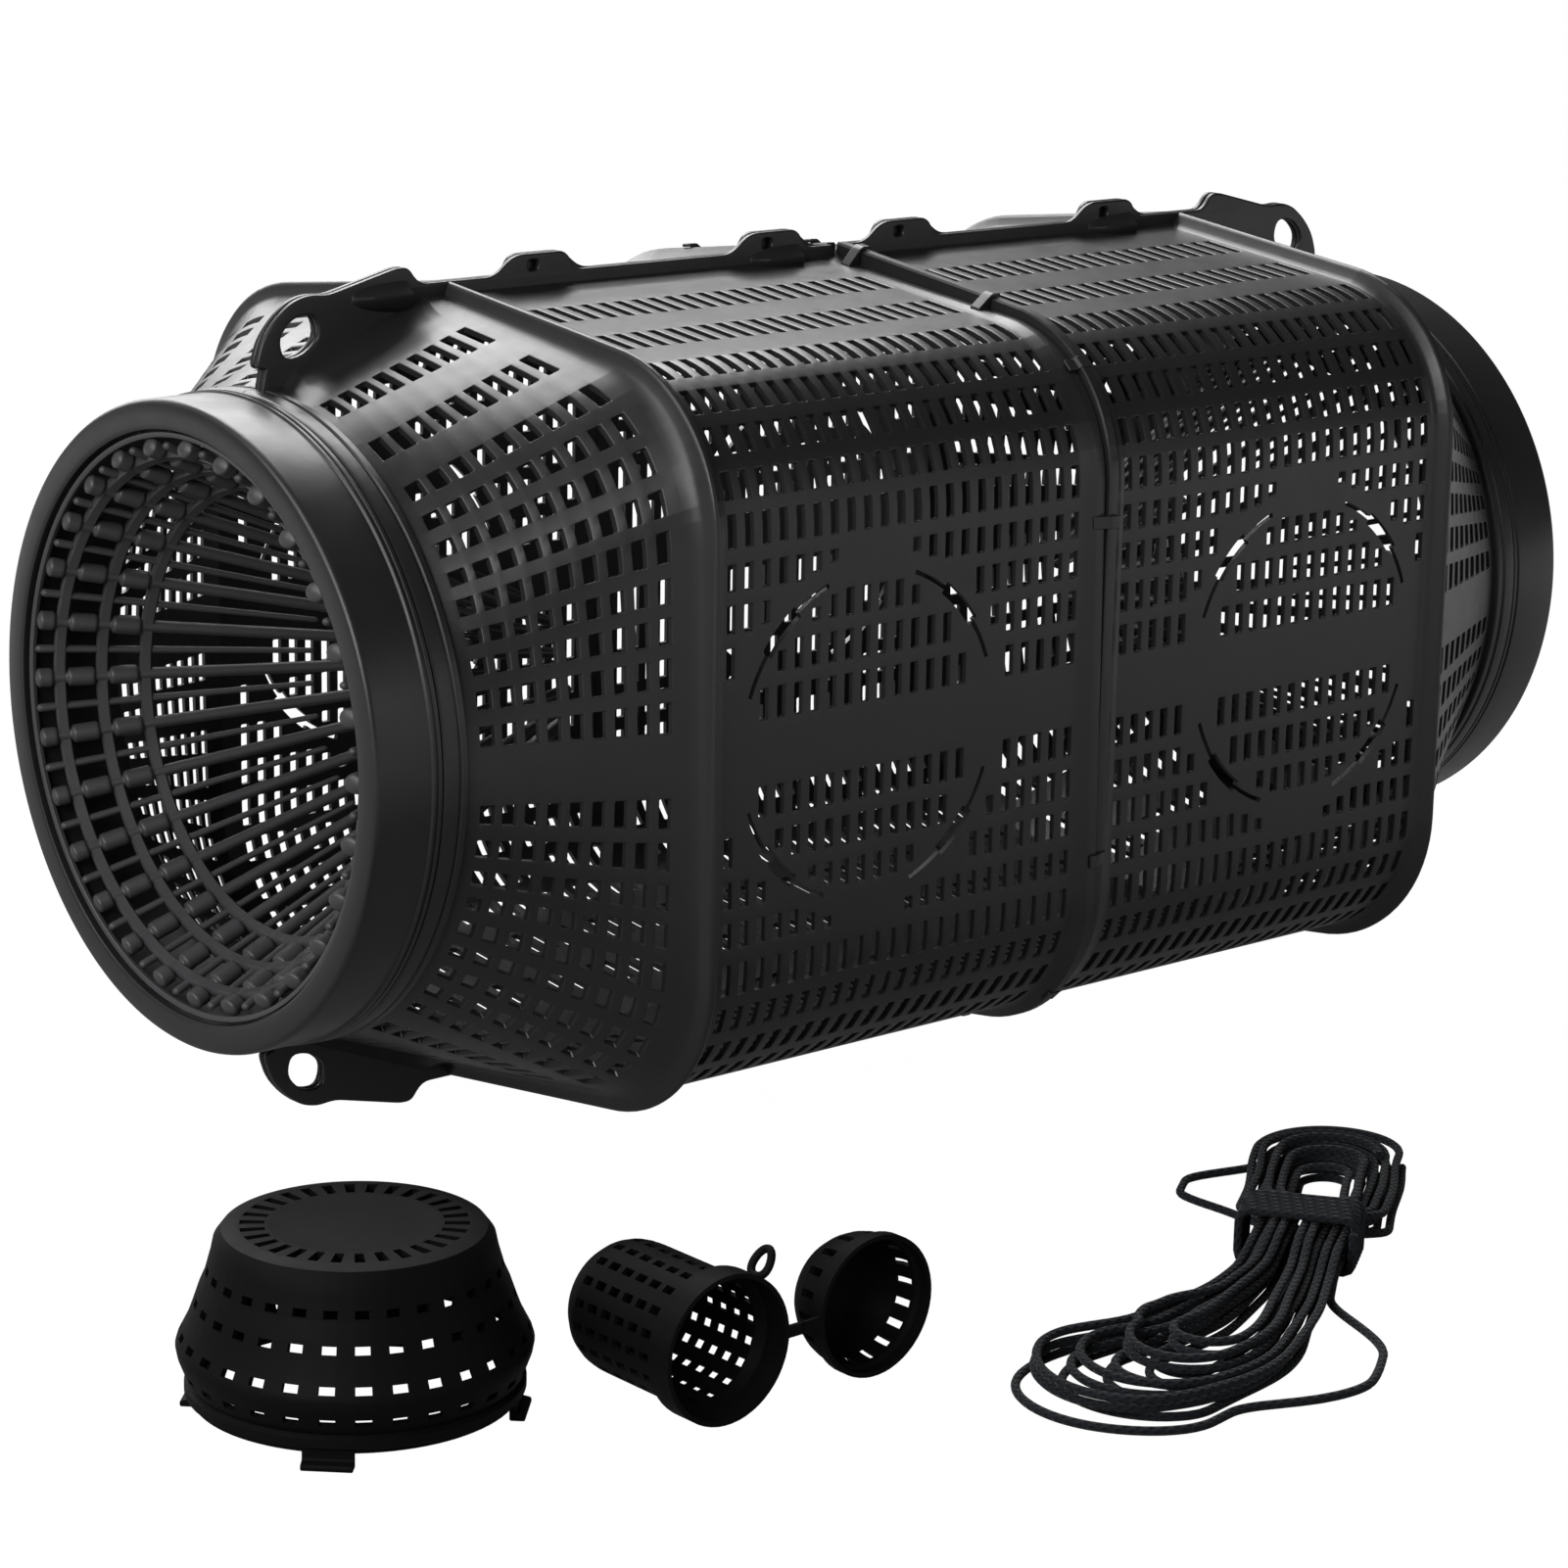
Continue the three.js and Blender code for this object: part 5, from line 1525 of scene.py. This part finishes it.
def make_bait_box(material):
    """The cup with its hanging loop and the lid, with half of the strap each."""
    profile = in_sizes(CUP_SHARES, BOX_RADIUS, BOX_LENGTH)
    starts = [CUP_FIRST_ROW + CUP_ROW_PITCH * row for row in range(CUP_ROWS)]
    spans = [(start, start + CUP_ROW_WIDTH) for start in starts]
    wall = round_wall(profile, BOX_WALL, BOX_SLOTS, spans, CUP_OPEN_SHARE)
    cup_wall = mesh_object("cup", *wall, LATHED_DEGREES)
    cup = joined("moulded_bait_box_cup", [cup_wall, half_strap(BAND_RADIUS), hang_loop()])
    place_kit(cup, CUP_MOUTH, material, "front_half", "bait_box_cup")
    profile = in_sizes(LID_SHARES, LID_RADIUS, LID_DEPTH)
    wall = round_wall(profile, BOX_WALL, BOX_SLOTS, [LID_ROW], LID_OPEN_SHARE)
    strap = half_strap(LID_RADIUS)
    strap.data.transform(turned(180))
    lid_wall = mesh_object("lid", *wall, LATHED_DEGREES)
    lid = joined("moulded_bait_box_lid", [lid_wall, strap])
    place_kit(lid, LID_MOUTH, material, "bait_lid", "bait_box_lid")


# The pale floor, the white backdrop and the soft lamps

BACKDROP_WAY = (-0.1, 0.75, 0.65)
BACKDROP_REACH = (0.65, 1.0)
BACKDROP_LIGHT = (0.08, 0.55)
BACKDROP_SEEN = 1.07
# The floor's glow to reflections is painted light: it rises from near to far over this reach,
# dimmer near the middle as a painted shadow of the object.
FLOOR_GLOW_REACH = (0.5, 1.7)
FLOOR_GLOWS = (0.12, 0.85)
FLOOR_HALF_SIZE = 6.0
FLOOR_DROP = 0.0004
FLOOR_CLEARNESS = 0.93
FLOOR_GRAIN_SIZE = 60.0
FLOOR_TONES = ((0.16, 0.16, 0.16, 1), (0.18, 0.18, 0.18, 1))
LAMP_AIM = (0.05, 0.05, 0.12)
LAMPS = (
    ("overhead", (0.6, 1.3, 1.75), (1.6, 1.2), 48),
    ("behind_left", (0.35, 1.95, 0.85), (1.3, 0.6), 10),
    ("left_high", (-1.7, 0.2, 1.3), (1.4, 1.1), 16),
    ("left_front", (-1.9, -0.9, 1.0), (1.0, 0.8), 18),
    ("front_soft", (0.8, -2.2, 0.7), (1.8, 0.8), 4),
)


def make_floor():
    """A pale floor that keeps the shadows. The camera sees through it to what hangs under it."""
    ways = ((-1, -1, 0), (1, -1, 0), (1, 1, 0), (-1, 1, 0))
    floor = mesh_object("floor", ways, [(0, 1, 2, 3)], scale=FLOOR_HALF_SIZE)
    floor.location.z = -FLOOR_DROP
    nodes = Nodes(bpy.data.materials.new("pale_floor"))
    nodes.set("Base Color", nodes.blend(nodes.noise(FLOOR_GRAIN_SIZE), *FLOOR_TONES))
    nodes.set("Roughness", 0.9)
    path = nodes.add("ShaderNodeLightPath")
    # Glossy rays see the floor glow: painted light, which fades towards the middle as a painted
    # shadow of the object.
    glow = nodes.add("ShaderNodeEmission", Color=(1, 1, 1, 1), Strength=1.0)
    away = nodes.vector_maths("LENGTH", nodes.place)
    glow_share = nodes.spread(away, *FLOOR_GLOW_REACH, *FLOOR_GLOWS)
    mirrored = nodes.maths("MULTIPLY", path.outputs["Is Glossy Ray"], glow_share)
    lit = nodes.mixed_shader(mirrored, nodes.shader.outputs[0], glow.outputs[0])
    seen = nodes.maths("MULTIPLY", path.outputs["Is Camera Ray"], FLOOR_CLEARNESS)
    through = nodes.maths("ADD", seen, path.outputs["Is Shadow Ray"])
    clear = nodes.add("ShaderNodeBsdfTransparent")
    surface = nodes.mixed_shader(through, lit, clear.outputs[0])
    nodes.feed(nodes.tree.nodes["Material Output"].inputs["Surface"], surface)
    floor.data.materials.append(nodes.owner)


def make_world():
    """White to the camera. To the object it is white behind and above, and dim in front."""
    world = bpy.data.worlds.new("studio")
    bpy.context.scene.world = world
    nodes = Nodes(world)
    path = nodes.add("ShaderNodeLightPath")
    towards = nodes.vector_maths("DOT_PRODUCT", nodes.coordinates["Generated"], BACKDROP_WAY)
    lit = nodes.spread(towards, *BACKDROP_REACH, *BACKDROP_LIGHT, "SMOOTHSTEP")
    strength = nodes.between(path.outputs["Is Camera Ray"], lit, BACKDROP_SEEN)
    background = nodes.tree.nodes["Background"]
    nodes.feed(background.inputs["Color"], (1, 1, 1, 1))
    nodes.feed(background.inputs["Strength"], strength)


def make_lamp(name, place, size, power):
    """A soft rectangular lamp that faces the object."""
    data = bpy.data.lights.new(name, "AREA")
    data.shape = "RECTANGLE"
    data.size, data.size_y = size
    data.energy = power
    obj = new_object(name, data)
    obj.location = place
    way = Vector(LAMP_AIM) - Vector(place)
    obj.rotation_euler = way.to_track_quat("-Z", "Y").to_euler()


# The scene

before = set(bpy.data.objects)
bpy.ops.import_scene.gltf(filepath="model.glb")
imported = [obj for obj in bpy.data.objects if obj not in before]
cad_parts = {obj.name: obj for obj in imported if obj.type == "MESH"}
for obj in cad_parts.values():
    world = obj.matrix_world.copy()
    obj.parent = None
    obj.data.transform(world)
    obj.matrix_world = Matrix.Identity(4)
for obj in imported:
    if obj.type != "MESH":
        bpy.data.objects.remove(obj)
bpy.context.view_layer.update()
bpy.context.scene.view_settings.view_transform = "Standard"
make_camera()
make_cord()

shell_plastic, funnel_plastic, kit_plastic = (
    moulded_plastic(name, **finish) for name, finish in PLASTICS.items()
)
make_shells(shell_plastic)
make_entries(shell_plastic, funnel_plastic)
make_basket(kit_plastic)
make_bait_box(kit_plastic)
make_floor()
make_world()
for lamp in LAMPS:
    make_lamp(*lamp)
